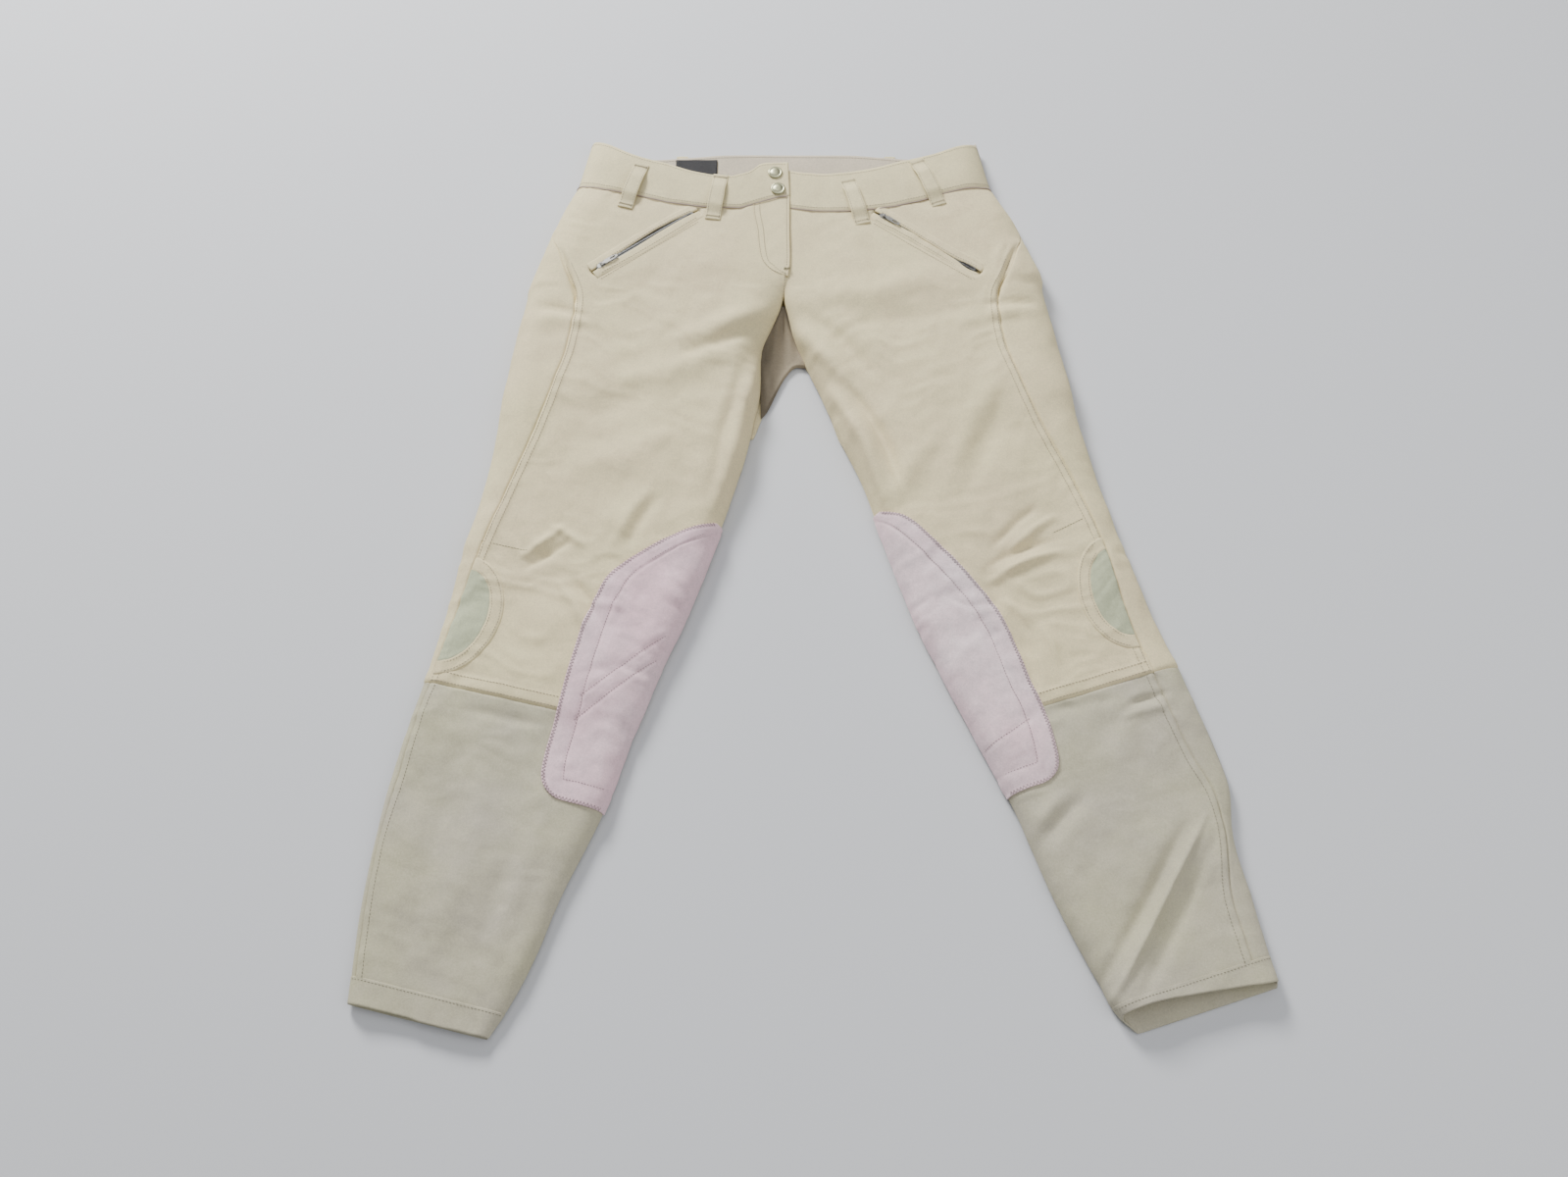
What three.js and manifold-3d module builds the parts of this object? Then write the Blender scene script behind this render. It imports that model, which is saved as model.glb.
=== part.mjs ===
// Knee-patch riding breeches, laid face up on a flat surface with the legs apart.
//
// Units are millimetres. +Z is up, +Y points to the waist and the wearer's left side is at +X.
// The pattern is drawn with its origin at the front crotch point. Each leg has its own frame: "up" runs
// from the hem to the hip along the leg, and "across" is positive towards the leg's outer edge.
// The finished group is moved so that its origin is the centre of its footprint, on the floor.
import * as THREE from "three";
import { mergeVertices } from "three/addons/utils/BufferGeometryUtils.js";
import Module from "manifold-3d";

const wasm = await Module();
wasm.setup();

// ---------------------------------------------------------------- driving dimensions
// Garment, measured flat
const waistHalf = 203; // half of the flat waist, at the waistband's top edge
const waistSeamHalf = 219; // half of the flat waist, at the waistband's seam
const frontRise = 124; // front crotch point to the waistband's seam, at the centre
const backRise = 164; // front crotch point's level to the back waistband's seam
const backDrop = 51; // how far the back crotch point lies below the front one
const sideLift = 31; // how much higher the front seam is at the sides
const topLift = 50; // the same for the waistband's top edge
const bandHeight = 46;
const legLength = 728; // hem to crotch level, along the leg
const hemWidth = 124;
const calfWidth = 196;
const kneeWidth = 205;
const thighWidth = 253;
const hipHalf = thighWidth + 14; // half of the flat hip, at the crotch
const hemDepth = 22;
const seamLevel = 287; // height of the seam between thigh and calf panels above the hem

// How it lies
const splayRight = THREE.MathUtils.degToRad(13.6);
const splayLeft = THREE.MathUtils.degToRad(17.4);
const legRoot = thighWidth / 2 + 8.5; // distance of each leg's axis from the centre line, at the crotch
const trunkHeight = 34;
const kneeHeight = 21;
const hemHeightRight = 12;
const hemHeightLeft = 20; // this mouth stands open
const underlapDrop = 2.8; // the wearer's left front lies this much lower, under the fly

// Materials and clearances
const cloth = 1.2;
const bandCloth = 2.4; // waistband: two plies and interlining
const suede = 1.4;
const gap = 0.3; // between pieces sewn to each other
const floorGap = 1.8; // under the back panels, where loops and patches lie
const foldGap = 0.6; // each side of the fold line at the calf seam

// Fly and snaps
const flyBottom = 41; // height of the bar tack above the crotch point
const flyOverlap = 3; // the flap's edge past the centre line
const flapTopWidth = 47; // from the flap's edge to its fold, at the waistband's top
const flapCloth = 2;
const flyZipX = -13;
const capRadius = 7.5;
const studRadius = 2;
const socketClearance = 0.45;
const snapPitch = 21;

// Zips
const pocketLength = 122;
const pocketAngle = THREE.MathUtils.degToRad(36);
const pocketTop = [95, 112]; // upper end of the pocket mouth
const pocketGape = 8; // width of the slot cut for the zip
const tapeWidth = 22;
const tapeCloth = 0.8;
const teethRow = 1.7; // width of one row of teeth
const teethSlit = 1.1; // between the two rows
const teethHeight = 1.2;
const sliderLength = 9;
const pullLength = 19;

// Belt loops
const loopWidth = 12.5;
const loopRise = 4.6; // room under a loop
const loopCloth = 1.6;

// ---------------------------------------------------------------- derived sizes
const floorTop = floorGap + cloth; // upper face of the back panels
const edgeTop = floorTop + gap + 0.5; // outer face of the front panels at a closed edge
const bandFloorTop = floorGap + bandCloth;
const bandEdgeTop = bandFloorTop + gap + 1.1;
const bandTopRight = trunkHeight + 1.2;
const bandTopLeft = bandTopRight - bandCloth - 0.5;
const frontTopLeft = trunkHeight - underlapDrop;

// ---------------------------------------------------------------- materials
const beige = new THREE.MeshStandardMaterial({ color: 0xcfc7b3, roughness: 0.9 });
const calfStretch = new THREE.MeshStandardMaterial({ color: 0xb6b3a2, roughness: 0.85 });
const insertStretch = new THREE.MeshStandardMaterial({ color: 0xb5b8a5, roughness: 0.85 });
const lilacSuede = new THREE.MeshStandardMaterial({ color: 0xc8bcbc, roughness: 1 });
const tapeFabric = new THREE.MeshStandardMaterial({ color: 0xbdb4a0, roughness: 0.9 });
const zipMetal = new THREE.MeshStandardMaterial({ color: 0x8d8a84, roughness: 0.4, metalness: 0.9 });
const snapMetal = new THREE.MeshStandardMaterial({ color: 0xb9b58f, roughness: 0.25, metalness: 1 });
const labelBlack = new THREE.MeshStandardMaterial({ color: 0x1b1a1c, roughness: 0.7 });
const liningCotton = new THREE.MeshStandardMaterial({ color: 0xd9d4c6, roughness: 0.95 });

// ---------------------------------------------------------------- solids
const group = new THREE.Group();

function toSolid(geometry) {
  const bare = geometry.index ? geometry.toNonIndexed() : geometry.clone();
  bare.deleteAttribute("normal");
  bare.deleteAttribute("uv");
  const merged = mergeVertices(bare, 1e-4);
  return new wasm.Manifold(
    new wasm.Mesh({
      numProp: 3,
      vertProperties: new Float32Array(merged.attributes.position.array),
      triVerts: new Uint32Array(merged.index.array),
    }),
  );
}

function toGeometry(solid) {
  const mesh = solid.getMesh();
  const geometry = new THREE.BufferGeometry();
  geometry.setAttribute("position", new THREE.BufferAttribute(mesh.vertProperties, 3));
  geometry.setIndex(new THREE.BufferAttribute(mesh.triVerts, 1));
  geometry.computeVertexNormals();
  return geometry;
}

function add(name, solid, material) {
  const mesh = new THREE.Mesh(toGeometry(solid), material);
  mesh.name = name;
  group.add(mesh);
  return mesh;
}

const join = (solids) => solids.reduce((whole, next) => whole.add(next));

// A closed solid between two grids of points, rows by columns.
function slab(outer, inner) {
  const rows = outer.length;
  const columns = outer[0].length;
  const positions = [];
  for (const grid of [outer, inner]) for (const row of grid) for (const p of row) positions.push(p.x, p.y, p.z);
  const at = (layer, i, j) => layer * rows * columns + i * columns + j;
  const index = [];
  const quad = (a, b, c, d) => index.push(a, b, c, a, c, d);
  for (let i = 0; i + 1 < rows; i++) {
    for (let j = 0; j + 1 < columns; j++) {
      quad(at(0, i, j), at(0, i, j + 1), at(0, i + 1, j + 1), at(0, i + 1, j));
      quad(at(1, i, j), at(1, i + 1, j), at(1, i + 1, j + 1), at(1, i, j + 1));
    }
    quad(at(0, i, 0), at(0, i + 1, 0), at(1, i + 1, 0), at(1, i, 0));
    quad(at(0, i, columns - 1), at(1, i, columns - 1), at(1, i + 1, columns - 1), at(0, i + 1, columns - 1));
  }
  for (let j = 0; j + 1 < columns; j++) {
    quad(at(0, 0, j), at(1, 0, j), at(1, 0, j + 1), at(0, 0, j + 1));
    quad(at(0, rows - 1, j), at(0, rows - 1, j + 1), at(1, rows - 1, j + 1), at(1, rows - 1, j));
  }
  const geometry = new THREE.BufferGeometry();
  geometry.setAttribute("position", new THREE.BufferAttribute(new Float32Array(positions), 3));
  geometry.setIndex(index);
  const volume = signedVolume(geometry);
  if (volume < 0) geometry.setIndex(index.reverse());
  return toSolid(geometry);
}

function signedVolume(geometry) {
  const p = geometry.attributes.position;
  const [a, b, c] = [new THREE.Vector3(), new THREE.Vector3(), new THREE.Vector3()];
  let sum = 0;
  for (let i = 0; i < geometry.index.count; i += 3) {
    a.fromBufferAttribute(p, geometry.index.getX(i));
    b.fromBufferAttribute(p, geometry.index.getX(i + 1));
    c.fromBufferAttribute(p, geometry.index.getX(i + 2));
    sum += a.dot(b.cross(c)) / 6;
  }
  return sum;
}

// Unit normals of a grid of points, on the upper or outer side.
function normals(grid) {
  const pick = (list, i) => list[THREE.MathUtils.clamp(i, 0, list.length - 1)];
  const field = grid.map((row, i) =>
    row.map((_, j) => {
      const along = new THREE.Vector3().subVectors(pick(grid, i + 1)[j], pick(grid, i - 1)[j]);
      const across = new THREE.Vector3().subVectors(pick(row, j + 1), pick(row, j - 1));
      return across.cross(along).normalize();
    }),
  );
  const rise = field.flat().reduce((sum, normal) => sum + normal.z, 0);
  if (rise < 0) for (const normal of field.flat()) normal.negate();
  return field;
}

// The grid moved along its normals.
function offset(grid, distance, directions = normals(grid)) {
  return grid.map((row, i) => row.map((p, j) => p.clone().addScaledVector(directions[i][j], distance)));
}

const shell = (grid, thickness) => slab(grid, offset(grid, -thickness));

// A flat plate with the outline [[x, y], ...], from bottom to top.
function plate(outline, bottom, top) {
  const shape = new THREE.Shape(outline.map(([x, y]) => new THREE.Vector2(x, y)));
  const geometry = new THREE.ExtrudeGeometry(shape, { depth: top - bottom, bevelEnabled: false });
  return toSolid(geometry.translate(0, 0, bottom));
}

function block(width, length, height, x, y, bottom) {
  return toSolid(new THREE.BoxGeometry(width, length, height).translate(x, y, bottom + height / 2));
}

// A solid turned about +Z and moved to (x, y), height z.
function place(solid, angle, x, y, z) {
  const matrix = new THREE.Matrix4().makeRotationZ(angle).setPosition(x, y, z);
  return solid.transform(matrix.elements);
}

// ---------------------------------------------------------------- the legs' frames
const sides = {
  right: { sign: -1, splay: splayRight, hemHeight: hemHeightRight },
  left: { sign: 1, splay: splayLeft, hemHeight: hemHeightLeft },
};
for (const side of Object.values(sides)) {
  side.upward = new THREE.Vector2(-side.sign * Math.sin(side.splay), Math.cos(side.splay));
  side.outward = new THREE.Vector2(side.sign * Math.cos(side.splay), Math.sin(side.splay));
  side.hem = new THREE.Vector2(side.sign * legRoot, 5).addScaledVector(side.upward, -legLength);
}

function legPoint(side, up, across) {
  return side.hem.clone().addScaledVector(side.upward, up).addScaledVector(side.outward, across);
}

// Linear interpolation in a list of [position, value].
function curve(points, t) {
  const last = points.findIndex(([at]) => at >= t);
  if (last === 0) return points[0][1];
  if (last < 0) return points[points.length - 1][1];
  const [[a, va], [b, vb]] = [points[last - 1], points[last]];
  return va + ((vb - va) * (t - a)) / (b - a);
}

// Flat width of the leg, and the share of it on the inner side of the axis, by height above the hem.
const heights = [0, 0.082, 0.206, 0.343, 0.453, 0.577, 0.714, 0.852, 0.948].map((share) => share * legLength);
const widths = [
  hemWidth,
  0.65 * hemWidth + 0.35 * calfWidth,
  0.28 * hemWidth + 0.72 * calfWidth,
  calfWidth,
  kneeWidth,
  0.77 * kneeWidth + 0.23 * thighWidth,
  0.5 * kneeWidth + 0.5 * thighWidth,
  0.15 * kneeWidth + 0.85 * thighWidth,
  thighWidth,
];
const innerShares = [0.5, 0.5, 0.5, 0.5, 0.527, 0.546, 0.546, 0.53, 0.506];
const legWidth = heights.map((up, i) => [up, widths[i]]);
const legInner = heights.map((up, i) => [up, widths[i] * innerShares[i]]);
const inner = (up) => curve(legInner, up);
const outer = (up) => curve(legWidth, up) - inner(up);
const legHeight = (side, up) =>
  curve(
    [
      [0, side.hemHeight],
      [0.45 * seamLevel, 0.6 * kneeHeight + 0.4 * side.hemHeight],
      [seamLevel, kneeHeight],
      [heights[6], 0.55 * kneeHeight + 0.45 * trunkHeight],
      [heights[8], trunkHeight - 1],
    ],
    up,
  );

// Distance of the side seam from the leg's outer edge, by height above the hem.
const seamInset = [
  [0, 8],
  [heights[2], 8],
  [heights[3], 15],
  [heights[5], 17],
  [heights[6], 31],
  [heights[7], 49],
  [heights[8], 58],
];

// Edge of the knee patch on the leg's front: [height above the hem, share of the inner half width].
const patchEdge = [
  [0.297, 0.64],
  [0.309, 0.46],
  [0.336, 0.4],
  [0.394, 0.36],
  [0.412, 0.345],
  [0.481, 0.33],
  [0.536, 0.355],
  [0.588, 0.42],
  [0.635, 0.58],
  [0.68, 0.8],
  [0.698, 0.92],
].map(([up, share]) => [up * legLength, share]);
const patchLevels = patchEdge.map(([up]) => up);
const upperPatchLevels = [seamLevel + foldGap, ...patchLevels.filter((up) => up > seamLevel + 4)];
const lowerPatchLevels = [...patchLevels.filter((up) => up < seamLevel - 4), seamLevel - foldGap];

// ---------------------------------------------------------------- rows of the front surface
// A row runs from its inner end to its outer end. "closed" is 1 where the inner end is a leg's edge.
function legRow(side, up) {
  return {
    from: legPoint(side, up, -inner(up)),
    to: legPoint(side, up, outer(up)),
    height: legHeight(side, up),
    inset: curve(seamInset, up),
    closed: 1,
    bend: 1,
    edge: edgeTop,
  };
}

const flapEdge = flyOverlap;
const foldStart = new THREE.Vector2(flapEdge, flyBottom);
const foldEnd = new THREE.Vector2(flapEdge - flapTopWidth, frontRise + bandHeight + 6);
const foldX = (y) => foldStart.x + ((foldEnd.x - foldStart.x) * (y - foldStart.y)) / (foldEnd.y - foldStart.y);

// Inner edge of each front panel: under the fly it is cut back.
function frontEdge(side, y) {
  if (side.sign < 0) return y > flyBottom ? foldX(y) - gap : -gap / 2;
  return y > flyBottom ? flyZipX + tapeWidth / 4 : gap / 2;
}

function trunkRow(side, share, lift, bend, reach, inset) {
  const y = share * frontRise;
  return {
    from: new THREE.Vector2(frontEdge(side, y), y),
    to: new THREE.Vector2(side.sign * reach, y + lift),
    height: side.sign < 0 ? trunkHeight : frontTopLeft,
    inset,
    closed: 0,
    bend,
    edge: edgeTop,
  };
}

function frontRows(side) {
  const reach = (share) => waistSeamHalf + (hipHalf - waistSeamHalf) * share;
  return [
    trunkRow(side, 1, sideLift, 2.4, waistSeamHalf, 0),
    trunkRow(side, 0.67, 17, 1.8, reach(0.5), 3),
    trunkRow(side, 0.35, 10, 1.3, reach(0.8), 36),
    trunkRow(side, 0.03, 8, 1, hipHalf, 55),
    ...[heights[8], heights[7], heights[6], ...upperPatchLevels.slice().reverse()].map((up) => legRow(side, up)),
  ];
}

function calfRows(side) {
  const levels = [...lowerPatchLevels.slice().reverse(), heights[2], heights[1], hemDepth + 2 * gap];
  return levels.map((up) => legRow(side, up));
}

// Radius of the rounded edge, and how high the surface stands at a distance from the row's two ends.
const edgeRadius = (row) => 1.2 * row.height;
const rounded = (s) => (s >= 1 ? 1 : Math.sqrt(1 - (1 - s) ** 2));

function surfacePoint(row, fromOuter) {
  const length = row.from.distanceTo(row.to);
  const u = 1 - fromOuter / length;
  const radius = edgeRadius(row);
  const fall = rounded(fromOuter / radius) * (1 - row.closed * (1 - rounded((length - fromOuter) / radius)));
  return new THREE.Vector3(
    row.from.x + (row.to.x - row.from.x) * u,
    row.from.y + (row.to.y - row.from.y) * Math.max(u, 0) ** row.bend,
    row.edge + (row.height - row.edge) * fall,
  );
}

// Distances from the outer end, for the columns of a panel that ends "inset" short of it.
function panelColumns(row, inset) {
  const length = row.from.distanceTo(row.to);
  const radius = edgeRadius(row);
  const near = [0, 0.1, 0.3, 0.65, 1].map((share) => length - share * radius);
  const plateau = Math.max(radius, inset + 12);
  const middle = [1 / 3, 2 / 3].map((share) => length - radius + (plateau - length + radius) * share);
  const far = inset < 4 ? [plateau, 0.65 * radius, 0.3 * radius, 0.1 * radius] : [plateau, 0.5 * (plateau + inset)];
  while (far.length < 4) far.push(far[far.length - 1] * 0.5 + inset * 0.5);
  return [...near, ...middle, ...far, inset];
}

const surface = (rows, columns) => rows.map((row) => columns(row).map((d) => surfacePoint(row, d)));

// ---------------------------------------------------------------- leg and trunk panels
// The strip of a back panel that wraps over the outer edge, with a wall down to the floor sheet.
function wrapStrip(rows) {
  const grid = rows.map((row) => {
    const line = [1, 0.75, 0.5, 0.3, 0.12, 0].map((share) => surfacePoint(row, share * (row.inset - gap)));
    const foot = line[line.length - 1].clone();
    foot.z = floorGap + cloth / 2;
    return [...line, foot];
  });
  return shell(grid, cloth);
}

// A flat sheet between the rows' inner and outer ends.
function floorSheet(innerEnds, outerEnds, bottom, top) {
  const outline = [...innerEnds, ...outerEnds.slice().reverse()].map((p) => [p.x, p.y]);
  return plate(outline, bottom, top);
}

function backPanel(side) {
  const rows = frontRows(side);
  const seam = new THREE.Vector2(side.sign * (gap / 2), backRise);
  const fork = new THREE.Vector2(side.sign * (gap / 2), -backDrop);
  const forkSide = legPoint(side, heights[8] - 25, -inner(heights[8]) - 12);
  const innerEnds = [seam, fork, forkSide, ...rows.slice(5).map((row) => row.from)];
  const outerEnds = rows.map((row) => row.to);
  return floorSheet(innerEnds, outerEnds, floorGap, floorTop).add(wrapStrip(rows.slice(1)));
}

function calfBack(side) {
  const rows = calfRows(side);
  const ends = [rows.map((row) => row.from), rows.map((row) => row.to)];
  return floorSheet(...ends, floorGap, floorTop).add(wrapStrip(rows));
}

// The turned hem: a closed band round the leg opening.
function hemBand(side) {
  const rows = [hemDepth, hemDepth / 2, 0].map((up) => legRow(side, up));
  const grid = rows.map((row) => {
    const length = row.from.distanceTo(row.to);
    const radius = edgeRadius(row);
    const inward = [0, 0.1, 0.3, 0.65, 1].map((share) => share * radius);
    const line = [...inward, length / 2, ...inward.slice().reverse().map((d) => length - d)];
    const points = line.map((d) => surfacePoint(row, d));
    const feet = [points[0].clone(), points[points.length - 1].clone()];
    for (const foot of feet) foot.z = cloth;
    return [feet[0], ...points, feet[1]];
  });
  const ends = [rows.map((row) => row.from), rows.map((row) => row.to)];
  return shell(grid, 1.5 * cloth).add(floorSheet(...ends, 0, floorTop));
}

// The half-oval stretch insert beside the knee: an outline in the leg's frame, against the side seam.
const insertCentre = 0.497 * legLength;
const insertHalf = 46;
const insertBulge = 29;

function insertTool(side, shrink) {
  const outline = [];
  const steps = 12;
  for (let i = 0; i <= steps; i++) {
    const angle = (Math.PI * i) / steps;
    const up = insertCentre + (insertHalf - shrink) * Math.cos(angle);
    const seam = outer(up) - curve(seamInset, up);
    const across = seam - (insertBulge - shrink) * Math.sin(angle);
    outline.push(legPoint(side, up, across));
  }
  for (let i = 2; i >= 0; i--) {
    const up = insertCentre - (insertHalf - shrink) + ((2 - i) / 2) * 2 * (insertHalf - shrink);
    outline.push(legPoint(side, up, outer(up) - curve(seamInset, up) + 8));
  }
  return plate(outline.map((p) => [p.x, p.y]), floorTop + 1, 2 * trunkHeight);
}

// ---------------------------------------------------------------- knee patch
function patchSurface(side, levels) {
  const grid = levels.map((up) => {
    const row = legRow(side, up);
    const length = row.from.distanceTo(row.to);
    const edge = length - inner(up) * (1 - curve(patchEdge, up));
    const radius = edgeRadius(row);
    const near = [1, 0.65, 0.3, 0.1, 0].map((share) => length - Math.min(share * radius, (length - edge) * 0.96 * (0.25 + 0.75 * share)));
    const points = [edge, 0.5 * (edge + near[0]), ...near].map((d) => surfacePoint(row, d));
    const wall = points[points.length - 1].clone();
    wall.z = 0;
    return [...points, wall];
  });
  return grid;
}

const patchUnder = 0.42; // the patch reaches this share of the inner half width round the back

function patchSolid(side, levels, panel) {
  const grid = patchSurface(side, levels);
  const directions = normals(grid);
  const wallDirection = new THREE.Vector3(-side.outward.x, -side.outward.y, 0);
  for (const row of directions) row[row.length - 1].copy(wallDirection);
  const upper = slab(offset(grid, gap + suede, directions), offset(grid, gap, directions));
  const beyond = gap + suede / 2;
  const edges = levels.map((up) => legPoint(side, up, -inner(up) - beyond));
  const under = levels.map((up) => legPoint(side, up, -inner(up) * (1 - patchUnder * (1 - curve(patchEdge, up)) * 1.5)));
  const clearance = slab(offset(panel, gap), offset(panel, -2 * cloth));
  return upper.subtract(clearance).add(floorSheet(edges, under, 0, suede));
}


// ---------------------------------------------------------------- pockets
function pocketFrame(side) {
  const along = new THREE.Vector2(side.sign * Math.cos(pocketAngle), -Math.sin(pocketAngle));
  const top = new THREE.Vector2(side.sign * pocketTop[0], pocketTop[1]);
  const middle = top.clone().addScaledVector(along, pocketLength / 2);
  return { middle, angle: Math.atan2(along.y, along.x) - Math.PI / 2, along };
}

const panelTop = (side) => (side.sign < 0 ? trunkHeight : frontTopLeft);

// ---------------------------------------------------------------- zips, drawn along +Y with the chain's foot at z = 0
function zipTape(length) {
  const sheet = block(tapeWidth, length, tapeCloth, 0, 0, 0);
  return sheet.subtract(block(teethSlit, length - 6, 3 * tapeCloth, 0, 0, -tapeCloth));
}

function zipTeeth(length) {
  const overall = 2 * teethRow + teethSlit;
  const bottom = tapeCloth + gap;
  const stops = block(overall, length - 4, teethHeight, 0, 0, bottom);
  let chain = stops.subtract(block(teethSlit, length - 7, 3 * teethHeight, 0, 0, 0));
  const pitch = 5;
  for (let y = -length / 2 + 8; y < length / 2 - 7; y += pitch) {
    chain = chain.subtract(block(2 * overall, pitch / 3, teethHeight, 0, y, bottom + 0.6 * teethHeight));
  }
  return chain;
}

const sliderTopAt = tapeCloth + 2 * gap + teethHeight; // underside of the slider's upper plate
const sliderPlate = 0.8;
const pinRise = 1.25;
const pinRadius = 0.4;
const earGap = 2.2;

function zipSlider() {
  const width = 2 * teethRow + teethSlit + 0.8;
  const upper = plate(shieldOutline(width, sliderLength), sliderTopAt, sliderTopAt + sliderPlate);
  const lower = plate(shieldOutline(width, sliderLength - 1), -gap - sliderPlate, -gap);
  const neck = block(0.5 * teethSlit, 2.4, sliderTopAt + gap + sliderPlate, 0, sliderLength / 2 - 2.5, -gap - sliderPlate / 2);
  const top = sliderTopAt + sliderPlate;
  const earHeight = pinRise + pinRadius + 0.3;
  const ears = [-1, 1].map((s) => block(0.7, 1.9, earHeight + 0.2, (s * (earGap + 0.7)) / 2, 0, top - 0.2));
  const pin = new THREE.CylinderGeometry(pinRadius, pinRadius, earGap + 0.8, 12).rotateZ(Math.PI / 2);
  return join([upper, lower, neck, ...ears, toSolid(pin.translate(0, 0, top + pinRise))]);
}

// Rounded at one end and narrower at the other, as a slider's plates are.
function shieldOutline(width, length) {
  const half = width / 2;
  const end = length / 2;
  return [
    [-0.6 * half, -end],
    [0.6 * half, -end],
    [half, -0.35 * end],
    [half, 0.7 * end],
    [0.6 * half, end],
    [-0.6 * half, end],
    [-half, 0.7 * end],
    [-half, -0.35 * end],
  ];
}

// The pull hangs on the slider's pin and lies along -Y.
function zipPull() {
  const z = sliderTopAt + sliderPlate + pinRise;
  const eyeRadius = 1.05;
  const eye = toSolid(new THREE.CylinderGeometry(eyeRadius, eyeRadius, earGap - 0.6, 16).rotateZ(Math.PI / 2).translate(0, 0, z));
  const neck = block(earGap - 0.6, 2.6, 0.8, 0, -1.7, z - 0.4);
  const tab = plate(shieldOutline(4.4, pullLength - 2.4), z - 0.4, z + 0.4);
  const bore = toSolid(new THREE.CylinderGeometry(pinRadius + 0.25, pinRadius + 0.25, 4, 16).rotateZ(Math.PI / 2).translate(0, 0, z));
  const slot = toSolid(new THREE.BoxGeometry(1.6, 6, 4).translate(0, -pullLength + 5.5, z));
  return join([eye, neck, tab.translate([0, -2.6 - (pullLength - 2.4) / 2, 0])]).subtract(bore).subtract(slot);
}

// ---------------------------------------------------------------- each side of the garment
for (const [name, side] of Object.entries(sides)) {
  const top = panelTop(side);
  const pocket = pocketFrame(side);
  const at = (solid, shift, z) => {
    const p = pocket.middle.clone().addScaledVector(pocket.along, -shift);
    return place(solid, pocket.angle + Math.PI, p.x, p.y, z);
  };
  const mouth = at(block(pocketGape, pocketLength, 12, 0, 0, -6), 0, top);
  const front = surface(frontRows(side), (row) => panelColumns(row, row.inset));
  const calf = surface(calfRows(side), (row) => panelColumns(row, row.inset));
  add(`${name}_front_panel`, shell(front, cloth).subtract(mouth).subtract(insertTool(side, 0)), beige);
  add(`${name}_knee_insert`, shell(front.slice(7), cloth).intersect(insertTool(side, gap)), insertStretch);
  add(`${name}_back_panel`, backPanel(side), beige);
  add(`${name}_calf_front`, shell(calf, cloth), calfStretch);
  add(`${name}_calf_back`, calfBack(side), calfStretch);
  add(`${name}_hem_band`, hemBand(side), calfStretch);
  add(`${name}_knee_patch`, patchSolid(side, upperPatchLevels, front), lilacSuede);
  add(`${name}_knee_patch_lower`, patchSolid(side, lowerPatchLevels, calf), lilacSuede);

  // The zip lies under the mouth. The right slider rests at the lower end and the left one at the upper end.
  const zipBase = top - cloth - gap - tapeCloth;
  const zipLength = pocketLength + 8;
  const travelEnd = pocketLength / 2 - sliderLength / 2 - 3;
  const turn = side.sign < 0 ? -1 : 1;
  add(`${name}_pocket_zip_tape`, at(zipTape(zipLength), 0, zipBase), tapeFabric);
  add(`${name}_pocket_zip_teeth`, at(zipTeeth(pocketLength), 0, zipBase), zipMetal);
  add(`${name}_pocket_slider`, at(zipSlider(), turn * travelEnd, zipBase), zipMetal);
  const pull = side.sign < 0 ? place(zipPull(), Math.PI, 0, 0, 0) : zipPull();
  add(`${name}_pocket_pull`, at(pull, turn * travelEnd, zipBase), zipMetal);
  const bagTop = zipBase - gap - sliderPlate - 1;
  add(`${name}_pocket_bag`, pocketBag(pocket, side, bagTop), liningCotton);
}

// A flat two-ply pocket bag that hangs from the mouth towards the hip.
function pocketBag(pocket, side, top) {
  const down = new THREE.Vector2(-pocket.along.y, pocket.along.x).multiplyScalar(-side.sign);
  const point = (along, depth) =>
    pocket.middle.clone().addScaledVector(pocket.along, along * pocketLength).addScaledVector(down, depth);
  const outline = [point(-0.5, -5), point(0.5, -5), point(0.5, 60), point(0.2, 85), point(-0.3, 85), point(-0.5, 55)];
  return plate(outline.map((p) => [p.x, p.y]), top - 1.6, top);
}

// ---------------------------------------------------------------- crotch gusset
{
  const tip = new THREE.Vector3(0, -3, frontTopLeft - 3);
  const feet = [sides.right, sides.left].map((side) => {
    const p = legPoint(side, heights[8], -inner(heights[8]));
    return new THREE.Vector3(p.x - side.sign * 1.5, p.y + 1, edgeTop + 1);
  });
  const upper = [
    [new THREE.Vector3(-0.6, tip.y, tip.z), new THREE.Vector3(0.6, tip.y, tip.z)],
    [feet[0], feet[1]],
  ];
  const lower = upper.map((row) => row.map((p) => p.clone().setZ(p.z - cloth)));
  add("crotch_gusset", slab(upper, lower), beige);
}

// ---------------------------------------------------------------- waistband
const bandSeamY = (x) => frontRise + sideLift * (Math.abs(x) / waistSeamHalf) ** 2.4;
const bandTopY = (x) => frontRise + bandHeight + topLift * (Math.abs(x) / waistHalf) ** 3;

function bandRow(side, share, fromX) {
  const reach = waistSeamHalf + (waistHalf - waistSeamHalf) * share;
  const middle = frontRise + gap + share * (bandHeight - gap);
  const lift = sideLift + (topLift - sideLift) * share;
  return {
    from: new THREE.Vector2(fromX(middle), middle),
    to: new THREE.Vector2(side.sign * reach, middle + lift),
    height: side.sign < 0 ? bandTopRight : bandTopLeft,
    closed: 0,
    bend: 2.4 + 0.6 * share,
    edge: bandEdgeTop,
  };
}

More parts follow.
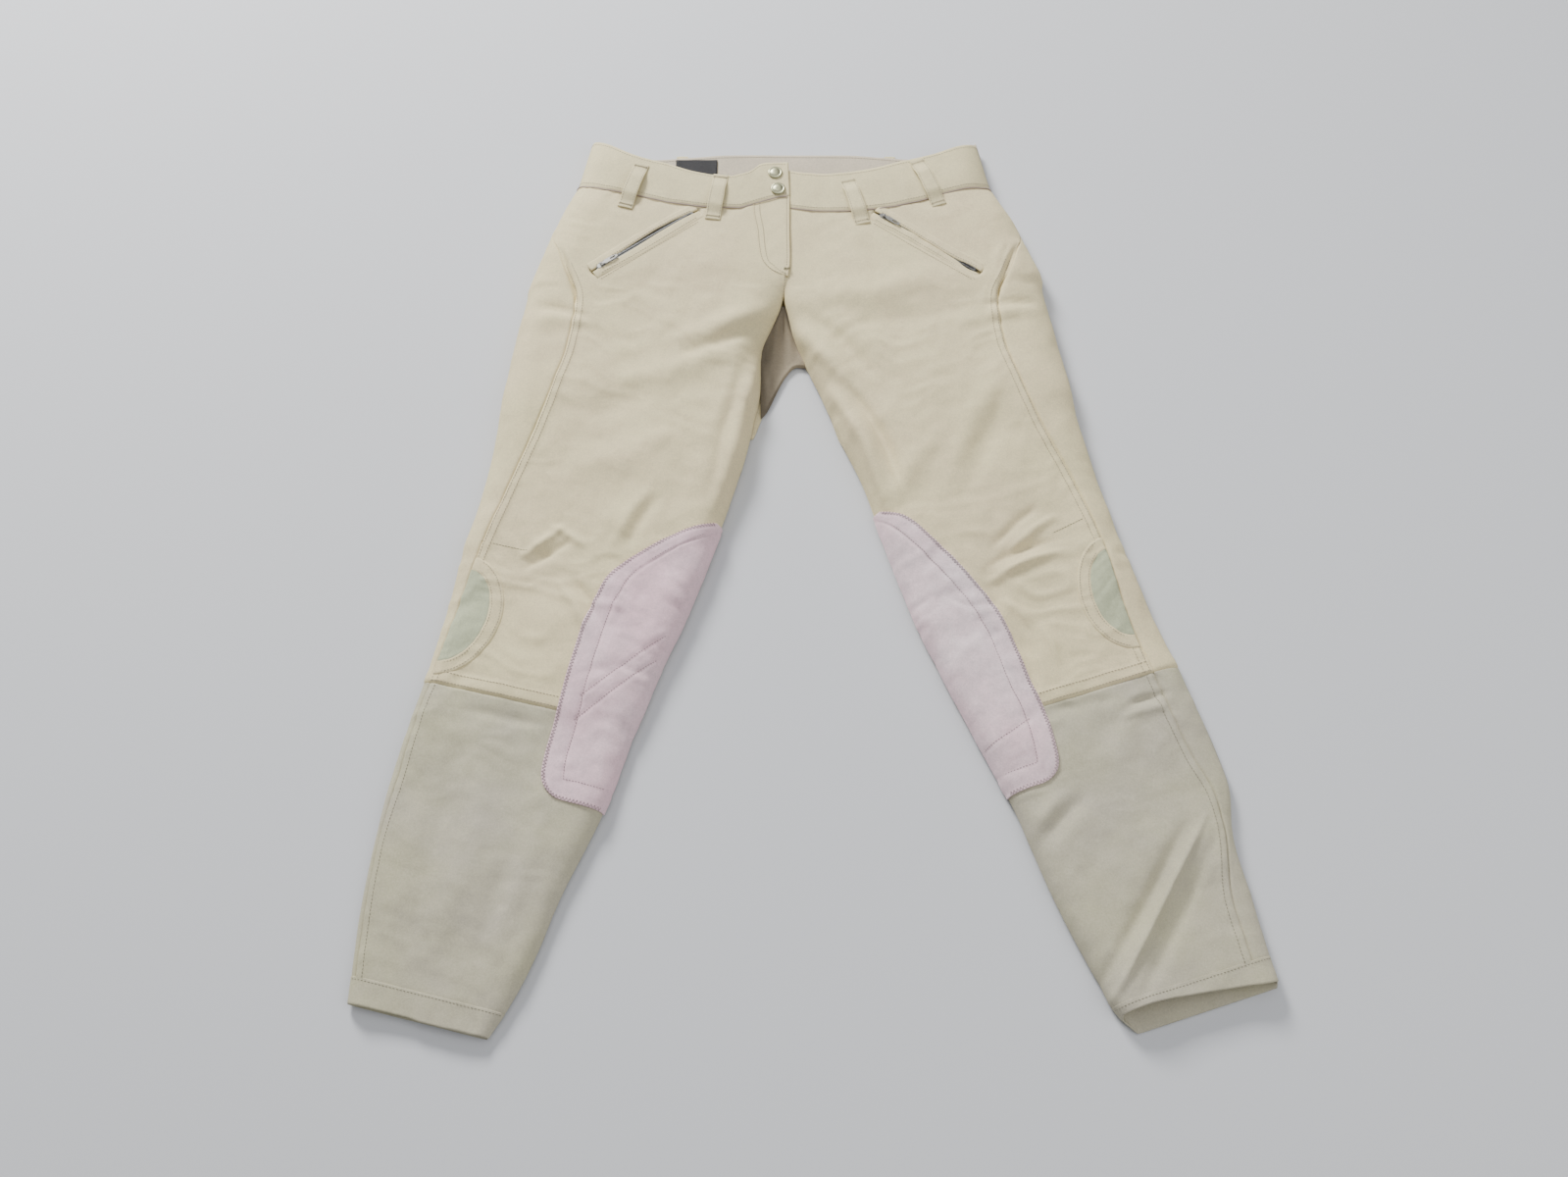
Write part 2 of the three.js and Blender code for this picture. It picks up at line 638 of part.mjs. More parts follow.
function frontBand(side, fromX) {
  const rows = [0, 0.5, 1].map((share) => bandRow(side, share, fromX));
  return shell(surface(rows, (row) => panelColumns(row, 0)), bandCloth);
}

const tabRise = 6; // how far the tab stands above the rest of the band's top edge
const snapY = [frontRise + 0.35 * bandHeight, frontRise + 0.35 * bandHeight + snapPitch];
const snapX = [flapEdge - 11.5, flapEdge - 14.5];
const socketOuter = studRadius + socketClearance + 1.8;
const underlapEnd = snapX[1] - studRadius - 5;

{
  const right = frontBand(sides.right, (y) => foldX(y) - foldGap);
  add("waistband_front_right", right, beige);
  const studHoles = snapY.map((y, i) =>
    toSolid(new THREE.CylinderGeometry(studRadius + 0.6, studRadius + 0.6, 20, 24).rotateX(Math.PI / 2).translate(snapX[i], y, bandTopLeft)),
  );
  const left = frontBand(sides.left, () => underlapEnd);
  add("waistband_front_left", left.subtract(studHoles[0]).subtract(studHoles[1]), beige);

  const steps = 8;
  const seamLine = [];
  const topLine = [];
  for (let i = 0; i <= steps; i++) {
    const t = (2 * i) / steps - 1;
    const fall = Math.abs(t) ** 2;
    seamLine.push([t * waistSeamHalf, backRise + gap + (frontRise + sideLift - backRise) * fall]);
    topLine.push([t * waistHalf, backRise + bandHeight + (frontRise + topLift - backRise) * fall]);
  }
  add("waistband_back", plate([...seamLine, ...topLine.reverse()], floorGap, bandFloorTop), beige);
  const labelWidth = 44;
  const label = block(labelWidth, 26, 0.6, -96, backRise + bandHeight - 19, bandFloorTop + gap);
  add("inner_label", label, labelBlack);
}

// ---------------------------------------------------------------- fly
{
  const flapTop = trunkHeight;
  const below = frontRise - gap;
  const outline = [
    [foldX(flyBottom + 6) + gap, flyBottom + 6],
    [flapEdge, flyBottom + 6],
    [flapEdge, below],
    [foldX(below) + gap, below],
  ];
  add("fly_flap", plate(outline, flapTop - flapCloth, flapTop), beige);

  const bandTop = frontRise + bandHeight + tabRise;
  const tabOutline = [
    [foldX(frontRise) + gap, frontRise + gap],
    [flapEdge + 1, frontRise + gap],
    [flapEdge + 1, bandTop - 3],
    [flapEdge - 2, bandTop],
    [foldX(bandTop) + gap, bandTop],
  ];
  let tab = plate(tabOutline, bandTopRight - bandCloth, bandTopRight);
  snapY.forEach((y, i) => {
    const hole = new THREE.CylinderGeometry(socketOuter + gap, socketOuter + gap, 20, 24).rotateX(Math.PI / 2);
    tab = tab.subtract(toSolid(hole.translate(snapX[i], y, bandTopRight)));
  });
  add("waistband_tab", tab, beige);

  const zipFoot = flyBottom + 5;
  const zipLength = frontRise - 3 - zipFoot;
  const zipMiddle = zipFoot + zipLength / 2;
  const base = frontTopLeft - cloth - gap - 4.2;
  const at = (solid, y) => place(solid, 0, flyZipX, y, base);
  add("fly_zip_tape", at(zipTape(zipLength + 4), zipMiddle), tapeFabric);
  add("fly_zip_teeth", at(zipTeeth(zipLength), zipMiddle), zipMetal);
  const sliderY = zipFoot + zipLength - sliderLength / 2 - 4;
  add("fly_zip_slider", at(zipSlider(), sliderY), zipMetal);
  add("fly_zip_pull", at(zipPull(), sliderY), zipMetal);
  const shieldTop = base - gap - sliderPlate - 0.6;
  const shield = [
    [flyZipX - 17, frontRise - 4],
    [flyZipX - 15, flyBottom + 20],
    [flyZipX, flyBottom],
    [flyZipX + 22, flyBottom + 4],
    [flyZipX + 24, frontRise - 4],
  ];
  add("fly_shield", plate(shield, shieldTop - cloth, shieldTop), liningCotton);
  add("fly_bar_tack", block(6, 2.2, 0.8, flapEdge - 2, flyBottom, trunkHeight + gap), tapeFabric);
}

// ---------------------------------------------------------------- snaps
function lathe(profile, x, y) {
  const geometry = new THREE.LatheGeometry(profile.map(([r, z]) => new THREE.Vector2(r, z)), 18);
  return toSolid(geometry.rotateX(Math.PI / 2).translate(x, y, 0));
}

["lower", "upper"].forEach((level, i) => {
  const tabBottom = bandTopRight - bandCloth;
  const lapBottom = bandTopLeft - bandCloth;
  const flange = lapBottom - gap;
  const head = tabBottom + 1.6;
  const stud = [
    [0, flange - 0.7],
    [5.5, flange - 0.7],
    [5.5, flange],
    [studRadius - 0.3, flange],
    [studRadius - 0.3, head - 1.2],
    [studRadius, head - 0.8],
    [studRadius - 0.4, head],
    [0, head],
  ];
  add(`snap_stud_${level}`, lathe(stud, snapX[i], snapY[i]), snapMetal);
  const bore = studRadius + socketClearance;
  const socket = [
    [bore, tabBottom - 0.2],
    [socketOuter, tabBottom - 0.2],
    [socketOuter, bandTopRight],
    [0, bandTopRight],
    [0, head + 0.4],
    [bore, head + 0.4],
    [bore, tabBottom - 0.2],
  ];
  add(`snap_socket_${level}`, lathe(socket, snapX[i], snapY[i]), snapMetal);
  const rim = bandTopRight + gap;
  const cap = [
    [0, rim],
    [capRadius - 0.4, rim],
    [capRadius, rim + 0.5],
    [capRadius - 0.7, rim + 1.5],
    [capRadius - 1.8, rim + 1.2],
    [capRadius - 4, rim + 1.7],
    [0, rim + 2],
  ];
  add(`snap_cap_${level}`, lathe(cap, snapX[i], snapY[i]), snapMetal);
});

// ---------------------------------------------------------------- belt loops
// Side view of a loop along +Y: both feet lie flat and the strap arches between them.
function beltLoop(length, footZ) {
  const foot = 7;
  const half = length / 2;
  const lower = [
    [-half, 0],
    [-half + foot, 0],
    [-half + foot + 3, loopRise],
    [half - foot - 3, loopRise],
    [half - foot, 0],
    [half, 0],
  ];
  const upper = [
    [half, loopCloth],
    [half - foot + 1, loopCloth],
    [half - foot - 2, loopRise + loopCloth],
    [-half + foot + 2, loopRise + loopCloth],
    [-half + foot - 1, loopCloth],
    [-half, loopCloth],
  ];
  const shape = new THREE.Shape([...lower, ...upper].map(([y, z]) => new THREE.Vector2(y, z)));
  const geometry = new THREE.ExtrudeGeometry(shape, { depth: loopWidth, bevelEnabled: false });
  geometry.translate(0, 0, -loopWidth / 2).rotateX(Math.PI / 2).rotateZ(Math.PI / 2);
  return toSolid(geometry.translate(0, 0, footZ));
}

const loopBelow = 13; // how far a loop reaches below the waistband's seam
const frontLoops = [
  [-0.78, 18],
  [-0.35, 10],
  [0.37, -13],
  [0.74, -19],
];
frontLoops.forEach(([share, lean], i) => {
  const x = share * waistHalf;
  const length = bandHeight + loopBelow - 1;
  const bottom = bandSeamY(x) - loopBelow;
  const footZ = (x < 0 ? bandTopRight : Math.max(bandTopLeft, frontTopLeft)) + gap;
  const solid = place(beltLoop(length, footZ), THREE.MathUtils.degToRad(-lean), x, bottom + length / 2, 0);
  add(`belt_loop_front_${i + 1}`, solid, beige);
});

// Under the back the loops lie pressed flat between the waistband and the floor.
[-0.55, 0, 0.55].forEach((share, i) => {
  const x = share * waistHalf;
  const length = bandHeight + loopBelow - 4;
  const middle = backRise + bandHeight / 2 - loopBelow / 2 + (frontRise + topLift - backRise) * share ** 2;
  add(`belt_loop_back_${i + 1}`, block(loopWidth, length, floorGap - gap, x, middle, 0), beige);
});

// ---------------------------------------------------------------- origin at the centre of the footprint
group.updateMatrixWorld(true);
const box = new THREE.Box3().setFromObject(group);
group.position.set(-(box.min.x + box.max.x) / 2, -(box.min.y + box.max.y) / 2, -box.min.z);

export default group;
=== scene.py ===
# Knee-patch riding breeches laid face up on a floor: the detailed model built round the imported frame.
# Inside the garment's functions lengths are millimetres from the front crotch point.
# Meshes are written in metres, in the frame's own place.
import math

import bpy
import numpy as np
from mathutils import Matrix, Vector


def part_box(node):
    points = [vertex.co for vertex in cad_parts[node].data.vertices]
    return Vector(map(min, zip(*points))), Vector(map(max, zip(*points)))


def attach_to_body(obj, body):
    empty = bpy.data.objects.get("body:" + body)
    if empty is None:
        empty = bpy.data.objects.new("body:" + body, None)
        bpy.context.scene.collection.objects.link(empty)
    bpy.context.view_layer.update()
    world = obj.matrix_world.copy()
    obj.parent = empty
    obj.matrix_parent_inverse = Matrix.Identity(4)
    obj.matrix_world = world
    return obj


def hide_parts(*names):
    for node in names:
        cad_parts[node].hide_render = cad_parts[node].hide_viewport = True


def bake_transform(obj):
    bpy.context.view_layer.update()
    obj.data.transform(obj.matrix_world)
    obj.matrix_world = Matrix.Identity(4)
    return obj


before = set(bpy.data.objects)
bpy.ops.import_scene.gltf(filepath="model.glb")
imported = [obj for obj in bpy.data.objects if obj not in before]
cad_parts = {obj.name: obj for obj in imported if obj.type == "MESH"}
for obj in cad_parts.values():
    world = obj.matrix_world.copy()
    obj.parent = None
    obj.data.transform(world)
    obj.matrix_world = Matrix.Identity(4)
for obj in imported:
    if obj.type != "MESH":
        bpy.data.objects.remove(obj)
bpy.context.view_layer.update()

MM = 0.001
LEG = 728.0  # from the hem up the leg to the crotch
CALF_SEAM = 287.0  # from the hem up to the seam below the knee
WAIST = 864.0  # from the hem up to the waistband's seam
CLOTH = 0.9  # thickness of the cloth
EDGE_Z = 4.2  # height at which the front and back meet along an edge
FLOOR_Z = 1.7  # height of the back layer's outer face under the trunk
FLOOR_LEG_Z = 0.9  # the same under the legs
TACK_AT = (1.0, 41.0)  # the fly's bar tack, from the crotch point


def middle(node):
    low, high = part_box(node)
    return (Vector(low) + Vector(high)) / 2 / MM


tack = middle("fly_bar_tack")
ORIGIN = np.array([tack.x - TACK_AT[0], tack.y - TACK_AT[1], 0.0])


def box_of(node):
    """Low and high corner of a CAD node."""
    return [np.array(corner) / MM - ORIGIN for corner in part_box(node)]


# ------------------------------------------------------------------ numbers
def smooth_curve(points, at):
    """Hermite curve through [(position, value), ...] with tangents from the neighbours."""
    p = np.array([a for a, _ in points], float)
    v = np.array([b for _, b in points], float)
    slope = np.diff(v) / np.diff(p)
    tangent = np.zeros(len(v))
    tangent[1:-1] = (slope[:-1] + slope[1:]) / 2
    tangent[1:-1][slope[:-1] * slope[1:] <= 0] *= 0.3
    tangent[0], tangent[-1] = slope[0], slope[-1]
    at = np.asarray(at, float)
    i = np.clip(np.searchsorted(p, at) - 1, 0, len(p) - 2)
    h = p[i + 1] - p[i]
    s = (at - p[i]) / h
    lo = tangent[0] * np.minimum(at - p[0], 0)
    hi = tangent[-1] * np.maximum(at - p[-1], 0)
    s = np.clip(s, 0, 1)
    a, b = 2 * s**3 - 3 * s**2 + 1, s**3 - 2 * s**2 + s
    c, d = -2 * s**3 + 3 * s**2, s**3 - s**2
    return a * v[i] + b * h * tangent[i] + c * v[i + 1] + d * h * tangent[i + 1] + lo + hi


def step(x, low, high):
    t = np.clip((np.asarray(x, float) - low) / (high - low), 0, 1)
    return t * t * (3 - 2 * t)


def bump(x, centre, width):
    return np.exp(-(((np.asarray(x, float) - centre) / width) ** 2))


def lattice(ix, iy, seed):
    h = (ix * 374761393 + iy * 668265263 + seed * 1442695041) & 0xFFFFFFFF
    h = ((h ^ (h >> 13)) * 1274126177) & 0xFFFFFFFF
    return ((h ^ (h >> 16)) & 0xFFFF) / 32767.5 - 1


def noise(x, y, seed):
    x, y = np.broadcast_arrays(np.asarray(x, float), np.asarray(y, float))
    ix, iy = np.floor(x).astype(np.int64), np.floor(y).astype(np.int64)
    fx, fy = x - ix, y - iy
    fx, fy = fx * fx * fx * (fx * (fx * 6 - 15) + 10), fy * fy * fy * (fy * (fy * 6 - 15) + 10)
    low = lattice(ix, iy, seed) * (1 - fx) + lattice(ix + 1, iy, seed) * fx
    high = lattice(ix, iy + 1, seed) * (1 - fx) + lattice(ix + 1, iy + 1, seed) * fx
    return low * (1 - fy) + high * fy


def quarter_round(x, radius):
    """0 to 1 over the radius, steep at first, as the edge of a soft body."""
    return np.sqrt(np.clip(1 - (1 - np.clip(x / radius, 0, 1)) ** 2, 0, 1))


def unit(vectors):
    return vectors / np.maximum(np.linalg.norm(vectors, axis=-1, keepdims=True), 1e-9)


def distances(line):
    """How far along a line of points each of them lies."""
    return np.concatenate([[0], np.cumsum(np.linalg.norm(np.diff(line, axis=0), axis=1))])


def read_line(where, at, values):
    """Points or normals given at distances `at` along a line, read at `where`."""
    return np.stack([np.interp(where, at, values[:, k]) for k in range(values.shape[1])], axis=-1)


# ------------------------------------------------------------------ the pattern
# One entry per cross-section of a leg, measured up from the hem along the leg:
# (up, inner half, outer half, side seam's distance from the outer edge, height)
RIGHT_LEG = [
    (0, 60, 63, 4, 11),
    (26, 68, 69, 4, 12.5),
    (71, 77, 79, 4, 14),
    (131, 84, 88, 4, 16),
    (201, 97, 94, 7, 18),
    (284, 104, 95.5, 7, 20.5),
    (347, 110, 97, 11, 21.5),
    (425, 121, 103, 19, 23),
    (494, 127, 105.5, 27, 25),
    (557, 131, 112, 40, 27.5),
    (610, 131, 120, 51, 30),
    (660, 129, 126.5, 58, 32),
    (712, 119, 131, 55, 33),
]
LEFT_LEG = [
    (0, 67, 64, 19, 20),
    (26, 76, 67, 19, 19),
    (71, 84, 73, 20, 18),
    (131, 90, 81, 9, 18),
    (165, 92, 94, 16, 18.5),
    (201, 93.5, 98, 25, 19),
    (284, 102, 97, 28, 21),
    (347, 110, 95, 26, 21.5),
    (425, 117, 97, 22, 22.5),
    (494, 118.5, 101, 28, 24.5),
    (557, 118, 106, 40, 27),
    (610, 123, 115.5, 52, 29.5),
    (660, 125, 123, 58, 30.5),
    (712, 129, 130, 52, 31),
]
# One entry per cross-section of the trunk:
# (along, inner x, inner y, outer x, outer y, side seam, height, closed, bend)
RIGHT_TRUNK = [
    (748, -4, 8, -265, 36, 46, 33.4, 0.45, 1.0),
    (782, 2.6, 41, -256, 66, 24, 34, 0.0, 1.2),
    (824, 2.8, 83, -242, 106, 0, 34, 0.0, 1.8),
    (WAIST, 3, 124, -221, 154, 0, 34, 0.0, 2.2),
]
LEFT_TRUNK = [
    (748, 0.6, 4, 263, 45, 38, 32.6, 0.45, 1.0),
    (782, -5.5, 41, 255, 69, 20, 31.6, 0.0, 1.2),
    (824, -7.5, 83, 242, 106, 0, 31.2, 0.0, 1.8),
    (WAIST, -7.5, 120, 217, 149, 0, 31.2, 0.0, 2.4),
]


class Side:
    def __init__(self, name, sign, splay, leg, trunk, seed):
        self.name, self.sign, self.seed = name, sign, seed
        splay = math.radians(splay)
        self.up = np.array([-sign * math.sin(splay), math.cos(splay)])
        self.out = np.array([sign * math.cos(splay), math.sin(splay)])
        self.hem = np.array([sign * 135.0, 5.0]) - self.up * LEG
        rows = []
        for up, inner, outer, seam, height in leg:
            a = self.hem + self.up * up - self.out * inner
            b = self.hem + self.up * up + self.out * outer
            rows.append((up, a[0], a[1], b[0], b[1], seam, height, 1.0, 1.0))
        rows += trunk
        self.leg = leg
        self.curves = [[(row[0], row[i]) for row in rows] for i in range(1, 9)]

    def row(self, t):
        """inner x, y, outer x, y, seam inset, height, closed and bend at each t."""
        return [smooth_curve(c, t) for c in self.curves]

    def leg_point(self, up, across):
        return self.hem + self.up * up + self.out * across

    def profile(self, t, samples=90):
        """Per row: plan share and height along the cross-section's arc, and its length."""
        ax, ay, bx, by, inset, height, closed, bend = self.row(t)
        closed = np.clip(closed, 0, 1)
        length = np.hypot(bx - ax, by - ay)
        radius = 1.15 * height
        near = (1 - np.cos(np.linspace(0, math.pi / 2, samples // 3)))[None] * radius[:, None]
        mid = np.linspace(0, 1, samples // 3 + 2)[1:-1][None]
        plateau = radius[:, None] + mid * (length - 2 * radius)[:, None]
        d = np.concatenate([near, plateau, length[:, None] - near[:, ::-1]], axis=1)

        round_outer = quarter_round(length[:, None] - d, radius[:, None])
        round_inner = quarter_round(d, radius[:, None])
        z = EDGE_Z + (height[:, None] - EDGE_Z) * round_outer * (1 - closed[:, None] * (1 - round_inner))
        run = np.cumsum(np.hypot(np.diff(d, axis=1), np.diff(z, axis=1)), axis=1)
        arc = np.concatenate([np.zeros((len(d), 1)), run], axis=1)
        return d, z, arc, length, (ax, ay, bx, by, inset, bend)

    def top(self, t, s):
        """Points of the front surface. t: rows; s[row, column]: arc distance in from the outer edge."""
        d, z, arc, length, (ax, ay, bx, by, inset, bend) = self.profile(t)
        total = arc[:, -1]
        along = total[:, None] - s
        x, y, h = np.empty(s.shape), np.empty(s.shape), np.empty(s.shape)
        for i in range(len(t)):
            plan = np.interp(along[i], arc[i], d[i])
            h[i] = np.interp(along[i], arc[i], z[i])
            u = plan / length[i]
            x[i] = ax[i] + (bx[i] - ax[i]) * u
            y[i] = ay[i] + (by[i] - ay[i]) * np.clip(u, 0, 1) ** bend[i]
        return np.stack([x, y, h], axis=-1), total, inset

    def seam_arc(self, t):
        """Arc distance from the outer edge to the side seam."""
        d, _, arc, length, (_, _, _, _, inset, _) = self.profile(t)
        seam = length - np.clip(inset, 0, None)
        return np.array([arc[i, -1] - np.interp(seam[i], d[i], arc[i]) for i in range(len(t))])


RIGHT = Side("right", -1, 13.6, RIGHT_LEG, RIGHT_TRUNK, 11)
LEFT = Side("left", 1, 17.4, LEFT_LEG, LEFT_TRUNK, 23)
SIDES = [RIGHT, LEFT]

POCKET_ANGLE = math.radians(36)
POCKET_LENGTH = 122.0


def pocket_line(side):
    """The zip's upper end, the way it runs, and the way across it towards the waist."""
    start = np.array([side.sign * 95.0, 112.0])
    along = np.array([side.sign * math.cos(POCKET_ANGLE), -math.sin(POCKET_ANGLE)])
    return start, along, side.sign * np.array([-along[1], along[0]])


def pocket_points(side, share, off):
    """Plan x and y at a share of the zip's length, off to its upper side."""
    start, along, cross = pocket_line(side)
    return [start[k] + along[k] * POCKET_LENGTH * share + cross[k] * off for k in (0, 1)]


# ------------------------------------------------------------------ folds and wrinkles
# A fold: the points it runs through, its height (negative for a valley) and its width.
FOLDS = {
    "right": [
        ([(-209, -6), (-218, 30), (-231, 68)], -5.0, 4),
        ([(-198, -4), (-207, 34), (-219, 72)], 2.0, 7),
        ([(-256, 0), (-228, -6), (-200, -16)], -2.6, 6),
        ([(-256, -12), (-226, -18), (-196, -26)], 1.8, 8),
        ([(-10, 2), (-58, -24), (-116, -44)], 2.6, 11),
        ([(-12, -14), (-58, -42), (-108, -62)], -2.4, 9),
        ([(-28, -30), (-98, -72), (-172, -88)], 1.9, 14),
        ([(-24, -50), (-43, -120), (-60, -196), (-76, -240)], 2.6, 8),
        ([(-40, -64), (-56, -130), (-72, -200)], -2.2, 9),
        ([(-250, -281), (-228, -264), (-208, -246)], 3.0, 6),
        ([(-246, -292), (-222, -276), (-202, -262)], -2.6, 6),
        ([(-226, -246), (-206, -256), (-188, -270)], 2.4, 5),
        ([(-214, -304), (-194, -332), (-178, -362)], 2.6, 7),
        ([(-200, -300), (-182, -326), (-168, -352)], -2.4, 6),
        ([(-168, -300), (-158, -318), (-156, -344)], 1.6, 6),
        ([(-152, -276), (-136, -240), (-118, -214)], -1.8, 8),
        ([(-164, -270), (-148, -236), (-128, -206)], 1.6, 8),
        ([(-97, -143), (-153, -172), (-212, -186)], 1.7, 15),
        ([(-120, -98), (-180, -120), (-236, -118)], -1.4, 14),
        ([(-286, -452), (-306, -548), (-316, -640)], -1.7, 13),
        ([(-262, -470), (-276, -560), (-300, -650)], 1.5, 15),
        ([(-226, -540), (-251, -612), (-262, -676)], -1.6, 11),
        ([(-206, -470), (-222, -560), (-252, -640)], 1.3, 13),
        ([(-300, -428), (-262, -436), (-216, -446)], -1.6, 7),
        ([(-72, -252), (-104, -284), (-142, -330)], -1.2, 12),
        ([(-190, -400), (-160, -392), (-126, -398)], -1.4, 8),
    ],
    "left": [
        ([(211, 4), (222, 38), (236, 74)], -5.0, 4),
        ([(199, 6), (210, 40), (223, 78)], 2.0, 7),
        ([(199, -1), (226, 3), (256, 4)], -3.0, 6),
        ([(196, -14), (226, -10), (256, -8)], 2.0, 8),
        ([(4, -14), (38, -58), (66, -98)], 3.6, 9),
        ([(14, -4), (56, -44), (88, -84)], -2.6, 9),
        ([(44, -96), (76, -156), (96, -226)], 5.4, 8),
        ([(58, -92), (92, -150), (112, -214)], -4.4, 8),
        ([(98, -226), (122, -180), (156, -142)], 2.0, 12),
        ([(24, 14), (92, 14), (160, 50)], 1.6, 14),
        ([(30, -8), (110, -20), (190, 6)], -1.5, 14),
        ([(187, -306), (222, -285), (262, -272)], 3.6, 6),
        ([(184, -294), (216, -273), (252, -262)], -2.8, 6),
        ([(206, -278), (232, -252), (256, -236)], 2.8, 6),
        ([(192, -270), (216, -246), (238, -226)], -2.4, 6),
        ([(167, -314), (180, -336), (192, -356)], 2.6, 7),
        ([(150, -322), (170, -330), (196, -326)], -1.8, 6),
        ([(196, -322), (214, -334), (226, -352)], 2.0, 6),
        ([(232, -346), (242, -366), (248, -388)], 1.8, 6),
        ([(214, -360), (222, -384), (226, -404)], -1.6, 7),
        ([(222, -96), (190, -164), (172, -212)], -1.8, 13),
        ([(204, -90), (170, -160), (150, -214)], 1.6, 13),
        ([(366, -528), (320, -606), (270, -690)], 5.0, 5.5),
        ([(376, -540), (334, -618), (290, -694)], -2.0, 8),
        ([(350, -532), (306, -606), (258, -682)], -3.2, 8),
        ([(268, -676), (276, -692), (286, -708)], 3.0, 8),
        ([(220, -556), (240, -532), (262, -512)], -2.4, 9),
        ([(212, -548), (230, -524), (250, -504)], 1.8, 9),
        ([(306, -426), (324, -420), (346, -414)], -3.2, 5),
        ([(300, -438), (320, -432), (344, -426)], 2.2, 6),
        ([(232, -434), (262, -426), (300, -420)], -1.3, 7),
        ([(120, -330), (150, -318), (176, -322)], -1.2, 8),
    ],
}


def route(points, count=40):
    """A smooth curve through a few points."""
    p = np.array(points, float)
    at = distances(p)
    s = np.linspace(0, at[-1], count)
    return np.stack([smooth_curve(list(zip(at, p[:, k])), s) for k in range(p.shape[1])], axis=1)


def fold_height(x, y, points, height, width):
    line = route(points, 24)
    best = np.full(x.shape, 1e9)
    where = np.zeros(x.shape)
    for i in range(len(line) - 1):
        a, b = line[i], line[i + 1]
        d = b - a
        k = np.clip(((x - a[0]) * d[0] + (y - a[1]) * d[1]) / (d @ d), 0, 1)
        far = np.hypot(x - a[0] - k * d[0], y - a[1] - k * d[1])
        closer = far < best
        best = np.where(closer, far, best)
        where = np.where(closer, (i + k) / (len(line) - 1), where)
    taper = np.sin(np.clip(where, 0.02, 0.98) * math.pi) ** 0.7
    return height * taper * np.exp(-((best / (width * (0.6 + 0.4 * taper))) ** 2))


def pocket_distance(side, x, y):
    """How far points lie from the pocket's zip."""
    start, along, _ = pocket_line(side)
    rx, ry = x - start[0], y - start[1]
    run = rx * along[0] + ry * along[1]
    across = rx * -along[1] + ry * along[0]
    beyond = np.maximum(np.maximum(-run, run - POCKET_LENGTH), 0)
    return np.hypot(across, beyond)


def relief(side, x, y, t, from_outer):
    """How far the cloth stands out of its plain form."""
    total = np.zeros(x.shape)
    # a narrow fold is drawn narrower still, so that it reads as a crease
    for points, height, width in FOLDS[side.name]:
        broad = step(width, 4, 12)
        total += fold_height(x, y, points, (1.2 + 0.5 * broad) * height, width * (0.66 + 0.34 * broad))
    seed = side.seed
    soft = 2.3 * noise(x / 74, y / 96, seed) + 1.4 * noise(x / 41, y / 50, seed + 1)
    across = (x * side.up[0] + y * side.up[1]) / 17 + 0.8 * noise(x / 40, y / 40, seed + 5)
    along = (x * side.out[0] + y * side.out[1]) / 46
    creases = 1 - 2 * np.abs(noise(along, across, seed + 2))
    knee = bump(t, 395, 80) + 0.7 * bump(t, 250, 40) + 0.6 * bump(t, 690, 50) + 0.35
    fine = 1 - 2 * np.abs(noise(along * 1.9 + 3, across * 1.7, seed + 6))
    total += soft + (0.8 * creases + 0.36 * fine) * knee
    total += 0.34 * noise(x / 9, y / 11, seed + 3) + 0.6 * noise(x / 20, y / 24, seed + 4)
    # flatter round the pocket zip, the fly and the waist seam
    near = pocket_distance(side, x, y)
    total = total * (0.12 + 0.88 * step(near, 10, 42))
    fly = np.where(y > 20, np.abs(x + 15), 99)
    total = total * (0.25 + 0.75 * step(fly, 24, 60))
    total = total * (1 - 0.5 * step(t, WAIST - 22, WAIST))
    # a valley under the zip, and the welts' slight rise
    total -= 5.2 * (1 - step(near, 3.2, 7.4))
    # pulled in at the edges
    edge = step(from_outer, 0, 16)
    return total * (0.35 + 0.65 * edge)


def normals_of(grid, up_hint=np.s_[:, :]):
    """Normals of a grid of points, turned so that they point up on average over a part of it."""
    rows = np.gradient(grid, axis=0)
    columns = np.gradient(grid, axis=1)
    n = unit(np.cross(rows, columns))
    if n[up_hint][..., 2].mean() < 0:
        n = -n
    return n


# Where the waistband's seam lies, and how far the band's top edge sags from its plain curve: (x, y) pairs
WAIST_SEAM = {
    "right": [(-221, 160), (-208, 150), (-190, 142), (-154, 134), (-123, 125), (-85, 119), (-48, 117.5),
              (-24, 126), (-8, 131.5), (3, 132.5)],
    "left": [(-8, 121), (28, 116), (67, 115), (114, 122), (143, 130), (165, 139), (204, 150), (217, 158)],
}
BAND_SAG = {
    "right": [(-203, 0), (-170, -5), (-141, -5.5), (-126, -6), (-100, -10.5), (-78, -13), (-56, -13),
              (-40, -7), (-28, -1), (5, 0)],
    "left": [(-20, 0), (-8, -1), (15, -5), (40, -7.5), (62, -7), (90, -4), (120, 0), (203, 0)],
}


